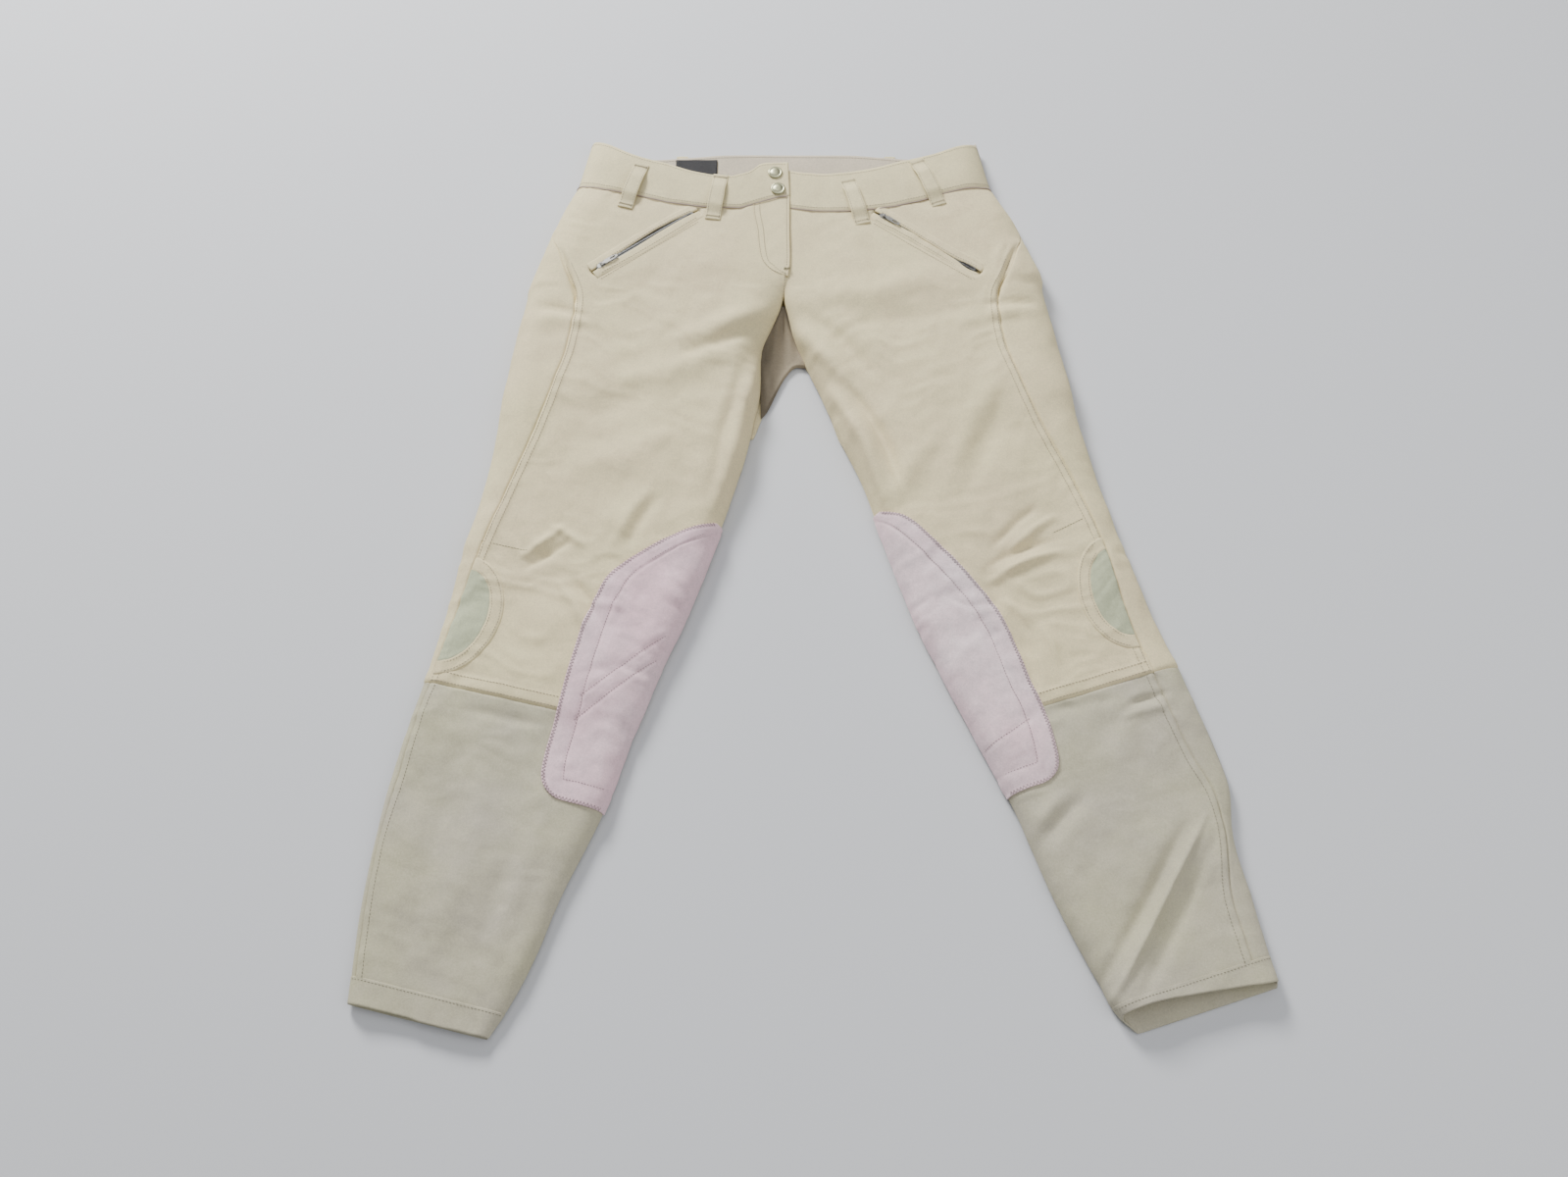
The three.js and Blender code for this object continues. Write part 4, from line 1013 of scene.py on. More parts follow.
def calf_panels(side):
    name, m = side.name, side.master
    t = rows_between(17.0, CALF_SEAM - 0.3, PITCH, (0, 1.2, 3), (0, 0.8, 1.8, 3.2, 5.5))
    hem_dip = -0.5 * (1 - step(t, 20, 24))
    seam = side.seam_arc(t)
    s = columns_between(seam, np.interp(t, m.t, m.total), int(190 / PITCH), SEAM_FINE, (0, 1.0, 2.5))
    beside = s - seam[:, None]
    puff = seam_shape(beside) + puckers(side, t[:, None], beside) + (knee_dip(t) + hem_dip)[:, None]
    grid, normal = m.at(t[:, None], s, puff)
    piece(f"{name}_calf_front_cloth", grid, CLOTH, CALF, [f"{name}_calf_front"], side=side,
          rests_on=[f"{name}_calf_back_cloth"], normal=normal)
    whole = np.concatenate([wrapped(side, t, 12, hem_dip, False), underside(side, t, 34)], axis=1)
    piece(f"{name}_calf_back_cloth", whole, CLOTH, CALF, [f"{name}_calf_back"], side=side,
          normal=normals_of(whole, np.s_[:, 0:5]))


def seam_stitches(side):
    """Two rows beside the side seam, one below the knee, and the facing band's two rows across the knee."""
    name, m = side.name, side.master
    t = np.arange(22, 770, 2.0)
    edge = side.seam_arc(t)
    thigh = t > CALF_SEAM
    for k, beside in enumerate((2.4, 8.2)):
        sew(f"{name}_side_stitch_{k + 1}", side, t[thigh], edge[thigh] + beside, lift=0.75)
    sew(f"{name}_calf_stitch", side, t[~thigh], edge[~thigh] + 7.6, CALF_THREAD, lift=0.75)
    patch_edge = {"right": -36.0, "left": -38.0}[name]
    start = side.seam_arc(np.array([CALF_SEAM]))[0] + 2
    s = np.linspace(start, m.arc([CALF_SEAM], [patch_edge])[0], 120)
    for k, above in enumerate((2.6, 11.8)):
        sew(f"{name}_knee_stitch_{k + 1}", side, np.full(120, CALF_SEAM + above), s, lift=0.7)


for side in SIDES:
    for make in (front_panel, back_panel, calf_panels, seam_stitches):
        make(side)

# ------------------------------------------------------------------ knee patches
# the patch's outer edge from its foot to its head: (up the leg, across the leg)
PATCH = {
    "right": [(208, -62), (208.6, -57), (210, -52.5), (213, -47.5), (218, -42.5), (226, -38.5), (240, -36),
              (274, -35), (324, -33), (369, -33), (404, -37), (428, -44), (455, -65), (484, -96),
              (504, -123)],
    "left": [(219, -66), (219.8, -61), (221.5, -56.5), (224, -52), (228, -48), (235, -44.5), (247, -42),
             (285, -39), (315, -41), (354, -41), (390, -45), (426, -57), (473, -77), (505, -96), (519, -114)],
}
# lines quilted through it
QUILT = {
    "right": [((381, -108), (304, -51)), ((356, -106), (281, -51))],
    "left": [((264, -101), (278, -55))],
}
PATCH_STITCH = 19  # from the patch's edge to its row of stitches


def patch_relief(side, t, s, border, px):
    """The padded patch with grooves along its row of stitches and its quilted lines."""
    name, foot = side.name, PATCH[side.name][0][0]
    inside = np.minimum(s - border, t - foot)
    line = -0.85 * bump(inside, PATCH_STITCH, 1.5)
    for (u0, a0), (u1, a1) in QUILT[name]:
        du, da = u1 - u0, a1 - a0
        k = np.clip(((t - u0) * du + (px - a0) * da) / (du * du + da * da), 0, 1)
        line = line - 0.85 * np.exp(-(((t - u0 - k * du) ** 2 + (px - a0 - k * da) ** 2) / 2.4))
    ripple = 0.12 * noise(t / 6, s / 6, side.seed + 30) + 0.25 * noise(t / 22, s / 18, side.seed + 31)
    return 1.55 + 0.5 * step(inside, 2, 9) + line + ripple * step(inside, 0, 6)


def knee_patch(side):
    name, m = side.name, side.master
    edge = PATCH[name]
    low, high = edge[0][0], edge[-1][0]
    t = rows_between(low, high, 2.6, (0, 0.3, 0.8, 1.6, 2.8, 4.5, 7, 10), (0, 0.6, 1.5, 3.0))
    across = smooth_curve(edge, t)
    border = m.arc(t, across)
    total = np.interp(t, m.t, m.total)
    s = columns_between(border, np.maximum(total, border + 2.0), 44, (0, 0.8, 1.8, 3.2, 5.5), (0, 1.2, 3.0))
    t, border_column = t[:, None], border[:, None]
    px = across[:, None] - (s - border_column)
    grid, normal = m.at(t, s, patch_relief(side, t, s, border_column, px))
    piece(f"{name}_knee_patch_suede", grid, 1.35, SUEDE[name],
          [f"{name}_knee_patch", f"{name}_knee_patch_lower"], side=side,
          rests_on=[f"{name}_front_cloth", f"{name}_calf_front_cloth"], normal=normal)

    # zigzag round the edge, starting along the bottom edge from the inside of the leg
    up = np.linspace(low + 2.2, high - 2, 260)
    rows = np.concatenate([np.full(30, low + 1.6), up])
    foot = np.linspace(total[0] - 8, border[0] + 2.0, 30)
    line, normal = m.at(rows, np.concatenate([foot, m.arc(up, smooth_curve(edge, up)) + 1.5]), 1.65)
    attach(tube(f"{name}_patch_zigzag", zigzag(line, normal, 3.2, 3.2), 0.28, PALE_THREAD, 5), side=side)

    # the row of stitches inside the edge, and the quilted lines
    up = np.linspace(low + 20, high - 16, 240)
    run = m.arc(up, smooth_curve(edge, up - 3)) + PATCH_STITCH
    on_patch = run < np.interp(up, m.t, m.total) - 10
    foot = np.linspace(np.interp(low + 20, m.t, m.total) - 12, run[0], 24)
    rows = np.concatenate([np.full(24, low + PATCH_STITCH), up[on_patch]])
    sew(f"{name}_patch_stitch", side, rows, np.concatenate([foot, run[on_patch]]), PALE_THREAD, lift=1.6,
        length=2.0, pitch=2.8)
    for k, ((u0, a0), (u1, a1)) in enumerate(QUILT[name]):
        up = np.linspace(u0, u1, 40)
        run = m.arc(up, np.linspace(a0, a1, 40))
        sew(f"{name}_patch_quilt_{k + 1}", side, up, run, PALE_THREAD, lift=1.62, length=2.0, pitch=2.8)


for side in SIDES:
    knee_patch(side)

# ------------------------------------------------------------------ knee inserts and darts
INSERT_SPAN = {"right": (308, 401, 56), "left": (327, 414, 45)}  # lower end, upper end, reach across the leg
DART = {"right": ((432, 85), (432, 39)), "left": ((452, 74), (446, 34))}


def insert_oval(side, angle, grow):
    """Rows and arc distances on a half oval that stands on the side seam, from its foot to its head."""
    low, high, reach = INSERT_SPAN[side.name]
    mid = np.array([(low + high) / 2])
    t = mid[0] - ((high - low) / 2 + grow) * np.cos(angle)
    deep = side.master.arc(mid, [reach])[0] - side.seam_arc(mid)[0]
    return t, side.seam_arc(t) + 0.8 + (deep + grow) * np.sin(angle)


def seam_below(side, t, s, seam):
    """The side seam's ridge and puckers, which lift whatever lies over them."""
    return np.maximum(seam_shape(s - seam), 0) + puckers(side, t, s - seam)


def knee_insert(side):
    name, m = side.name, side.master
    columns = 16
    t, tip = insert_oval(side, np.linspace(0.02, math.pi - 0.02, 56), 0)
    seam = side.seam_arc(t)
    s = columns_between(seam + 0.8, np.maximum(tip, seam + 1.4), columns)
    swell = 0.35 * np.sin(math.pi * np.linspace(0, 1, columns))[None]
    swell = swell + 0.18 * noise(t[:, None] / 9, s / 7, side.seed + 40)
    grid, normal = m.at(t[:, None], s, 0.62 + seam_below(side, t[:, None], s, seam[:, None]) + swell)
    piece(f"{name}_knee_insert_knit", grid, 0.45, INSERT, [f"{name}_knee_insert"],
          side=side, rests_on=[f"{name}_front_cloth"], normal=normal)

    # a facing ring sewn round it
    angle = np.linspace(0.0, math.pi, 90)
    offsets = (-0.4, 0.3, 1.4, 4, 8, 11, 12.4, 13.0)
    rings = np.stack([np.stack(insert_oval(side, angle, k), axis=-1) for k in offsets], axis=1)
    rows, run = rings[..., 0], rings[..., 1]
    lift = np.array([0.45, 0.95, 1.05, 0.95, 0.9, 0.95, 0.7, 0.1])[None]
    lift = lift + 0.15 * noise(rows / 6, run / 6, side.seed + 41)
    grid, _ = m.at(rows, run, lift + seam_below(side, rows, run, np.interp(rows, t, seam)))
    piece(f"{name}_insert_facing", grid, 0.5, TWILL, side=side,
          rests_on=[f"{name}_front_cloth"])
    for k, grow in enumerate((1.9, 10.4)):
        rows, run = insert_oval(side, np.linspace(0.06, math.pi - 0.06, 120), grow)
        sew(f"{name}_insert_stitch_{k + 1}", side, rows, run, lift=1.05, length=2.0, pitch=2.8)
    (u0, a0), (u1, a1) = DART[name]
    rows = np.linspace(u0, u1, 30)
    sew(f"{name}_dart", side, rows, m.arc(rows, np.linspace(a0, a1, 30)), DARK_THREAD, lift=0.05, length=2.6,
        pitch=2.9)


for side in SIDES:
    knee_insert(side)

# ------------------------------------------------------------------ hems
HEM_ROWS = (22.5, 21.5, 18, 13, 8, 4, 1.6, 0.4)  # from the hem band's seam down to its edge
HEM_COLUMNS = 120


def hem_loop(side, t):
    """One loop round the leg, over the front and back along the floor. The left leg's mouth is open."""
    share = np.linspace(0, 1, HEM_COLUMNS)
    to_edge = 1 - t / 24
    if side is LEFT:
        back = 1 + 14 * step(share, 0, 0.8) - 5 * step(share, 0.94, 1) + 0.8 * noise(share * 7, 0, 5)
        below = 3.0
    else:
        back = 1.2 * noise(share * 5, 0, side.seed)
        below = 0.0
    rows = t + back * to_edge
    front, _ = side.master.at(rows, share * np.interp(rows, side.master.t, side.master.total), 0.3)
    ax, ay, bx, by = [c[0] for c in side.row(np.array([t - below * to_edge]))[:4]]
    u = share[1:-1]
    rise = quarter_round(np.minimum(u, 1 - u) * math.hypot(bx - ax, by - ay), 9)
    z = EDGE_Z + (0.7 - EDGE_Z) * rise + 0.5 * rise * (1 + noise(u * 6, t / 40, side.seed + 50))
    return np.concatenate([front, np.stack([ax + (bx - ax) * u, ay + (by - ay) * u, z], axis=-1)])


def hem(side):
    name, m = side.name, side.master
    outer = np.stack([hem_loop(side, t) for t in HEM_ROWS])
    n = unit(np.cross(np.gradient(outer, axis=0), np.roll(outer, -1, axis=1) - np.roll(outer, 1, axis=1)))
    if ((outer - outer.mean(axis=1, keepdims=True)) * n).sum(axis=-1).mean() < 0:
        n = -n
    # outside, turned edge, inside
    inner = (outer - n * 1.7)[::-1]
    lip = outer[-1:] - n[-1:] * 0.85 - np.append(side.up, 0.0) * 0.75
    body = np.concatenate([outer, lip, inner])
    body[..., 2] = np.maximum(body[..., 2], 0.12)
    rows, w = body.shape[:2]
    i, j = np.meshgrid(np.arange(rows), np.arange(w), indexing="ij")
    i1, j1 = (i + 1) % rows, (j + 1) % w
    faces = np.stack([i * w + j, i * w + j1, i1 * w + j1, i1 * w + j], -1).reshape(-1, 4)
    verts = body.reshape(-1, 3)
    if volume(verts, faces) < 0:
        faces = faces[:, ::-1]
    steps = np.cumsum(np.linalg.norm(np.diff(body, axis=1), axis=-1), axis=1)
    run = np.concatenate([np.zeros((rows, 1)), steps], 1)
    rise = np.repeat((np.arange(rows) * 3.0)[:, None], w, axis=1)
    obj = mesh_object(f"{name}_hem_cloth", verts, faces, CALF, np.stack([run, rise], -1).reshape(-1, 2))
    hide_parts(f"{name}_hem_band")
    attach(obj, f"{name}_lower_leg")
    obj["flat_w"], obj["flat_l"] = run.max() * MM, HEM_ROWS[0] * MM
    obj["flat_a"] = grid_area(np.concatenate([outer, outer[:, :1]], axis=1))
    sheets.append((obj, []))
    p, n = m.at(np.full(160, 20.4), np.linspace(4, np.interp(20, m.t, m.total) - 3, 160), 0.35)
    attach(dashes(f"{name}_hem_stitch", p, n, CALF_THREAD), f"{name}_lower_leg")


for side in SIDES:
    hem(side)

# ------------------------------------------------------------------ the fly
m = RIGHT.master
t = rows_between(np.interp(32.5, TRUNK_Y, TRUNK_T), WAIST, 2.4, (0, 0.5, 1.2, 2.4, 4), (0, 1, 2.5))
total = np.interp(t, m.t, m.total)
start = total - np.maximum(fly_width(t), 1.0)
s = columns_between(start, total, 16, (0, 0.8, 1.8), (0, 0.7, 1.8, 3.4))
edge, t = total[:, None] - s, t[:, None]
puff = 0.25 * step(s - start[:, None], 0, 3) - 0.5 * bump(edge, 2.4, 0.9)
puff = puff + 0.35 * noise(t / 13, s / 11, 61) * step(edge, 0, 4) + 0.25 * (1 - step(edge, 0, 5))
grid, normal = m.at(t, s, puff + seam_groove(t))
piece("fly_flap_cloth", grid, 1.7, TWILL, ["fly_flap"], fly=True,
      rests_on=["left_front_cloth"], normal=normal)


def fly_stitch(name, t, from_edge, lift, **body):
    line, normal = m.at(t, np.interp(t, m.t, m.total) - from_edge, lift)
    attach(dashes(name, line, normal, THREAD, length=2.1, pitch=2.9), **body)


# two rows round the J, and one along the flap's edge
for k, inset in enumerate((1.0, 6.4)):
    y = np.concatenate([np.linspace(123, 42, 60), np.linspace(41, 33.5, 24)])
    width = smooth_curve(FLY_CURVE, y) - inset - (1.8 if k else 0) * (y < 45)
    kept = width > 1.5
    fly_stitch(f"fly_stitch_{k + 1}", np.interp(y, TRUNK_Y, TRUNK_T)[kept], width[kept], 0.45, body="pelvis")
fly_stitch("fly_edge_stitch", np.interp(np.linspace(44, 122, 60), TRUNK_Y, TRUNK_T), 2.4, 0.4, fly=True)

# the bar tack at the fly's foot: a dense satin stitch
line, normal = m.over(np.linspace(-2.2, 4.2, 30), np.full(30, 40.6), 0.5)
obj = tube("fly_bar_tack_thread", zigzag(line, normal, 2.6, 0.62), 0.28, DARK_THREAD, 5)
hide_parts("fly_bar_tack")
attach(obj, "pelvis")

# centre seam below the fly, to the crotch point
fly_stitch("crotch_stitch", np.linspace(750, 776, 20), 3.0, 0.2, body="pelvis")

# what lies under the flap: the zip's tape and the shield
def flat_sheet(name, edges, y0, y1, z, thickness, material, node_name, seed, rough):
    """A nearly flat sheet between two edges x = low(y), high(y)."""
    y = np.linspace(y0, y1, 40)[:, None]
    low, high = edges(y)
    x = low + (high - low) * np.linspace(0, 1, 14)[None]
    y = np.broadcast_to(y, x.shape)
    grid = np.stack([x, y, z + rough * noise(x / 14, y / 18, seed)], axis=-1)
    piece(name, grid, thickness, material, [node_name])


def shield_edges(y):
    return -30 + 8 * (1 - step(y, 41, 56)), 11 - 9 * (1 - step(y, 41, 60))


flat_sheet("fly_zip_tape_cloth", lambda y: (-24, -2 + 0 * y), 44, 123, 26.2, 0.6, TAPE,
           "fly_zip_tape", 71, 0.1)
flat_sheet("fly_shield_cloth", shield_edges, 41, 120, 23.6, 0.9, LINING, "fly_shield",
           72, 0.2)

# the crotch web: the back panels' cloth seen between the legs, its dark colour painted shade. Each edge is
# (share, x, y).
WEB_RIGHT = [(0, -25, -116), (0.35, -26, -72), (0.62, -25, -38), (0.85, -15, -6), (1, -5, 7)]
WEB_LEFT = [(0, 20, -57), (0.35, 15, -42), (0.62, 10, -28), (0.85, 3, -8), (1, 0.5, 4)]
WEB_FORK = [(0, -25, -118), (0.22, -18.5, -109), (0.6, -1, -70), (0.86, 11, -58), (1, 20, -59)]
V, u = np.linspace(0, 1, 44)[:, None], np.linspace(0, 1, 36)


def web_axis(k):
    """x or y of the web: between its two sides, pulled to the fork's curve at its foot."""
    right, left, fork = ([(row[0], row[k]) for row in edge] for edge in (WEB_RIGHT, WEB_LEFT, WEB_FORK))
    a, b, f = smooth_curve(right, V), smooth_curve(left, V), smooth_curve(fork, u)
    return a * (1 - u) + b * u + (1 - V) ** 2 * (f - a[0] * (1 - u) - b[0] * u)


z = 4.8 + 12.0 * V**2.6 + 1.3 * noise(u * 5, V * 1.6, 81) * step(V, 0, 0.2) * (1 - step(V, 0.8, 1))
z = z - 2.0 * (1 - step(V, 0, 0.05)) - 0.5 * bump(u, 0.62, 0.05)
grid = np.stack([web_axis(1), web_axis(2), z], axis=-1)
web = piece("crotch_web_cloth", grid, CLOTH, WEB_PAINTED_SHADE_TWILL, ["crotch_gusset"],
            rests_on=["right_back_cloth"])
# its cut is a leaning triangle, measured along and across its long side
along = grid[-1].mean(axis=0) - grid[0, 0]
along /= np.linalg.norm(along)
across = np.array([along[1], -along[0], 0.0])
web["flat_w"], web["flat_l"] = (np.ptp(grid @ (axis / np.linalg.norm(axis))) * MM for axis in (across, along))

# ------------------------------------------------------------------ waistband
BAND_V = np.concatenate([[0, 0.016, 0.035, 0.065], np.linspace(0.1, 0.9, 15), [0.935, 0.965, 0.985, 1.0]])
BACK_TOP = [(0, 211), (64, 211), (101, 208), (150, 204.5), (178, 205.5), (192, 213), (203, 220.5)]


def band_top(side, low):
    """The band's top edge above its seam: a shallow curve that sags between the belt loops."""
    top_x = low[:, 0] * 209 / 221
    top_y = 170 + 50 * (np.clip(np.abs(low[:, 0]) * 203 / 221, 0, 203) / 203) ** 3
    top_y = top_y + np.interp(top_x, *zip(*BAND_SAG[side.name]))
    if side is RIGHT:  # the tab with the snaps stands up a little
        top_y = top_y + 6 * step(top_x, -40, -20)
        top_x = top_x - 1.5 * step(top_x, -20, 0)
    return top_x, top_y


def band(side, extra):
    """Front waistband of one half. extra: how far it runs past the panel's inner edge."""
    m = side.master
    total = np.interp(WAIST, m.t, m.total)
    s = np.concatenate([[0, 1.2, 3], np.linspace(5.5, total - 5, 92), total - np.array([3.4, 1.8, 0.7, 0.0])])
    low, _ = m.at(np.full(len(s), WAIST), s, 0.0)
    if extra:
        more = np.array([3, 7, extra])
        low = np.concatenate([low, low[-1:] + np.stack([-side.sign * more, 0 * more, 0 * more], axis=1)])
    top_x, top_y = band_top(side, low)
    V = BAND_V[:, None]
    x = low[:, 0] * (1 - V) + top_x * V
    y = low[:, 1] * (1 - V) + top_y * V
    # rolled at both edges, with a dip along each row of stitches
    crown = 1.15 + 0.5 * np.sin(math.pi * V) - 0.9 * bump(V, 0, 0.02) - 0.35 * bump(V, 0.045, 0.014)
    crown = crown - 0.35 * bump(V, 0.955, 0.014) - 0.5 * bump(V, 1, 0.015)
    wave = 0.7 * noise(x / 34, V * 1.2, side.seed + 60) + 0.35 * noise(x / 9, V * 2.5, side.seed + 61)
    plateau = np.clip((low[:, 2] - EDGE_Z) / 20, 0, 1)
    z = low[:, 2] + (crown + wave * (0.3 + 0.7 * np.sin(math.pi * V))) * plateau
    # the top edge leans back a little at the sides
    z = z - 3.0 * V**2 * step(np.abs(x), 120, 200) * plateau
    return np.stack([x, y, z], axis=-1)


def stitch_rows(name, grid, rows, columns, fly=False, **options):
    """A line of stitches along each of some rows of a grid."""
    n = normals_of(grid)
    for k, row in enumerate(rows):
        attach(dashes(f"{name}_{k + 1}", grid[row, columns], n[row, columns], THREAD, **options), fly=fly)


for side, extra, nodes in ((RIGHT, 0, ["waistband_front_right", "waistband_tab"]),
                           (LEFT, 11, ["waistband_front_left"])):
    name, fly = f"waistband_{side.name}", side is RIGHT
    grid = band(side, extra)
    piece(f"{name}_cloth", grid, 2.1, BAND_TWILL, nodes, fly=fly,
          rests_on=["waistband_back_cloth"])
    stitch_rows(f"{name}_stitch", grid, (3, len(grid) - 4), np.s_[3:-2], fly, lift=0.15, length=2.1,
                pitch=2.9)

# the back band, inside face up, on the floor
u = np.concatenate([[0, 0.004, 0.01, 0.018], np.linspace(0.03, 0.97, 110), [0.982, 0.99, 0.996, 1.0]])
V = np.concatenate([[0, 0.03, 0.07], np.linspace(0.12, 0.9, 14), [0.94, 0.97, 1.0]])[:, None]
seam_x, top_x = -221 + 440 * u, -203.5 + 406.5 * u
seam_y = 153 + 11 * (1 - (np.abs(seam_x) / 220) ** 1.6)
top_y = smooth_curve(BACK_TOP, np.clip(np.abs(top_x), 0, 203))
x = seam_x * (1 - V) + top_x * V
y = seam_y * (1 - V) + top_y * V
side_gap = np.minimum(u, 1 - u) * 440
lift = quarter_round(side_gap, 9)
z = EDGE_Z + 0.6 + (3.9 - EDGE_Z - 0.6) * lift + 0.35 * noise(x / 30, V * 1.5, 91) * lift
z = z + 6.0 * bump(side_gap, 0, 22) * step(V, 0.3, 1.0) * (1 - lift * 0.2)
grid = np.stack([x, y, z], axis=-1)
piece("waistband_back_cloth", grid, 2.0, LINING, ["waistband_back"])
stitch_rows("waistband_back_stitch", grid, (2, len(grid) - 3), np.s_[6:-6], lift=0.15)

# the label: plain black satin, sewn at its ends
x, y = np.meshgrid(np.linspace(-118, -74, 30), np.linspace(178, 204, 20))
grid = np.stack([x, y, 4.95 + 0.25 * noise(x / 12, y / 10, 95)], axis=-1)
piece("inner_label_cloth", grid, 0.5, LABEL, ["inner_label"],
      rests_on=["waistband_back_cloth"])
for k, end in enumerate((-116.4, -75.6)):
    line = np.stack([np.full(12, end), np.linspace(179, 203, 12), np.full(12, 5.15)], axis=-1)
    attach(dashes(f"label_stitch_{k + 1}", line, np.tile([0, 0, 1.0], (12, 1)), LABEL_THREAD))

# the corded seam under the waistband
def piping(name, side, start, end, points, lift, fly=False):
    line, _ = side.master.at(WAIST - 0.9, np.linspace(start, end, points), lift)
    attach(tube(name, line, 0.62, PIPING, 6), fly=fly)


for side, flap in ((RIGHT, fly_width(np.array([WAIST]))[0]), (LEFT, 12.0)):
    end = side.master.total[-1]
    piping(f"{side.name}_waist_piping", side, 5, end - flap, 150, 0.55)
    if side is RIGHT:
        piping("flap_waist_piping", side, end - flap + 1, end - 1, 30, 0.95, True)

# ------------------------------------------------------------------ belt loops
# the front loops' feet and heads
LOOPS = [((-167, 117), (-151, 172)), ((-76, 102), (-68, 158)), ((79, 98), (64, 155)),
         ((159, 122), (137, 180))]
LOOP_WIDTH, BACK_LOOP_WIDTH, BACK_LOOP_Z = 15.5, 12.0, 1.98


def strap(name, foot, head, base, arch, width, nodes, tacked, seed):
    """A sewn strap that stands in a low arch between its two ends, bar-tacked at both ends when tacked."""
    foot, head = np.array(foot, float), np.array(head, float)
    length = np.linalg.norm(head - foot)
    d = (head - foot) / length
    across = np.array([d[1], -d[0]])
    u = np.concatenate([[0, 0.012, 0.03], np.linspace(0.06, 0.94, 30), [0.97, 0.988, 1.0]])
    w = np.array([-1, -0.93, -0.8, -0.55, -0.2, 0.2, 0.55, 0.8, 0.93, 1.0]) * width / 2
    z = np.interp(u, [0, 1], base) + arch * step(u, 0.10, 0.32) * (1 - step(u, 0.66, 0.93))
    crown = np.array([-0.45, -0.12, -0.28, 0.06, 0.1, 0.1, 0.06, -0.28, -0.12, -0.45])
    spread = w[None, :, None] * across * (1 + 0.03 * noise(u * 6, 0, seed))[:, None, None]
    grid = np.empty((len(u), len(w), 3))
    grid[..., :2] = foot + u[:, None, None] * length * d + spread
    grid[..., 2] = z[:, None] + crown[None] + 0.18 * noise(u * 7, 3, seed + 1)[:, None]
    piece(f"{name}_cloth", grid, 1.5, BAND_TWILL, nodes)
    n = normals_of(grid)
    for k, column in enumerate((2, 7)):
        line, normal = grid[1:-1, column], n[1:-1, column]
        attach(dashes(f"{name}_stitch_{k + 1}", line, normal, THREAD, length=2.0, pitch=2.8))
    for k, row in enumerate((3, len(u) - 4) if tacked else ()):
        line = zigzag(grid[row, 1:-1], n[row, 1:-1], 2.0, 0.9)
        attach(tube(f"{name}_tack_{k + 1}", line, 0.22, THREAD, 5))


for k, (foot, head) in enumerate(LOOPS):
    side, top, arch = (RIGHT, 37.0, 3.9) if foot[0] < 0 else (LEFT, 34.2, 4.0)
    foot_z = side.master.over([foot[0]], [foot[1] + 4])[0][0, 2] + 1.7
    strap(f"belt_loop_{k + 1}", foot, head, (foot_z, top), arch, LOOP_WIDTH,
          [f"belt_loop_front_{k + 1}"], True, 100 + k)
for k in range(3):
    low, high = box_of(f"belt_loop_back_{k + 1}")
    x = (low[0] + high[0]) / 2
    strap(f"back_loop_{k + 1}", (x, low[1]), (x, high[1]), (BACK_LOOP_Z, BACK_LOOP_Z), 0.0, BACK_LOOP_WIDTH,
          [f"belt_loop_back_{k + 1}"], False, 110 + k)

# ------------------------------------------------------------------ pockets
ZIP_LEVEL = {"right": 34.0, "left": 31.2}
LIP_ACROSS = np.array([0, 0.35, 1.0, 2.2, 4.2, 6.6, 8.9, 10.1])
LIP_CROWN = np.array([-0.5, 0.1, 0.45, 0.5, 0.42, 0.4, 0.2, -0.5])


def pocket_slot(side, u):
    """How far the slit bows off its straight line, and its width. The right one gapes, the left is shut."""
    if side is RIGHT:
        bow = 2.3 * np.sin(math.pi * u) ** 0.8 + 0.9 * np.sin(2 * math.pi * u)
        return bow, 0.95 + 1.5 * np.sin(math.pi * u) ** 1.3
    ends = 1.35 * bump(u, 0.07, 0.12) + 2.6 * bump(u, 0.93, 0.10)
    return 0.8 * np.sin(2 * math.pi * u), 0.06 + ends + 0.25 * bump(u, 0.3, 0.05)


def pocket_lip(side, lip, sign):
    """The turned edge of the cloth on one side of the slit, and the row of stitches along it."""
    name = f"{side.name}_pocket"
    u = np.linspace(-0.035, 1.035, 60)
    bow, slot_width = pocket_slot(side, np.clip(u, 0, 1))
    near = slot_width * (1.25 if sign < 0 else 0.75)
    off = sign * (near[:, None] + LIP_ACROSS[None]) + bow[:, None] * (1 - LIP_ACROSS[None] / 10)
    x, y = pocket_points(side, u[:, None], off)
    ripple = (0.2 if side is RIGHT else 0.4) * (0.6 + noise(u * 11, sign, side.seed + 70))
    ends = 0.48 * (step(-u, -0.03, 0.035) + step(u, 0.98, 1.035))
    z = ZIP_LEVEL[side.name] + LIP_CROWN[None] + (ripple - ends)[:, None]
    grid = np.stack([x, y, z], axis=-1)
    # lie on the cloth away from the slit
    cloth_z = side.master.over(x[:, -1], y[:, -1])[0][:, 2]
    grid[:, -1, 2] = cloth_z - 0.2
    grid[:, -2, 2] = np.maximum(cloth_z + 0.35, (grid[:, -2, 2] + cloth_z) / 2)
    piece(f"{name}_lip_{lip}", grid, 0.8, TWILL, rests_on=[f"{side.name}_front_cloth"])
    column, normal_column = (3, 2) if sign > 0 else (5, 3)
    n = normals_of(grid)
    attach(dashes(f"{name}_stitch_{lip}", grid[3:-3, column], n[3:-3, normal_column], THREAD, lift=0.2,
                  length=2.0, pitch=2.8))


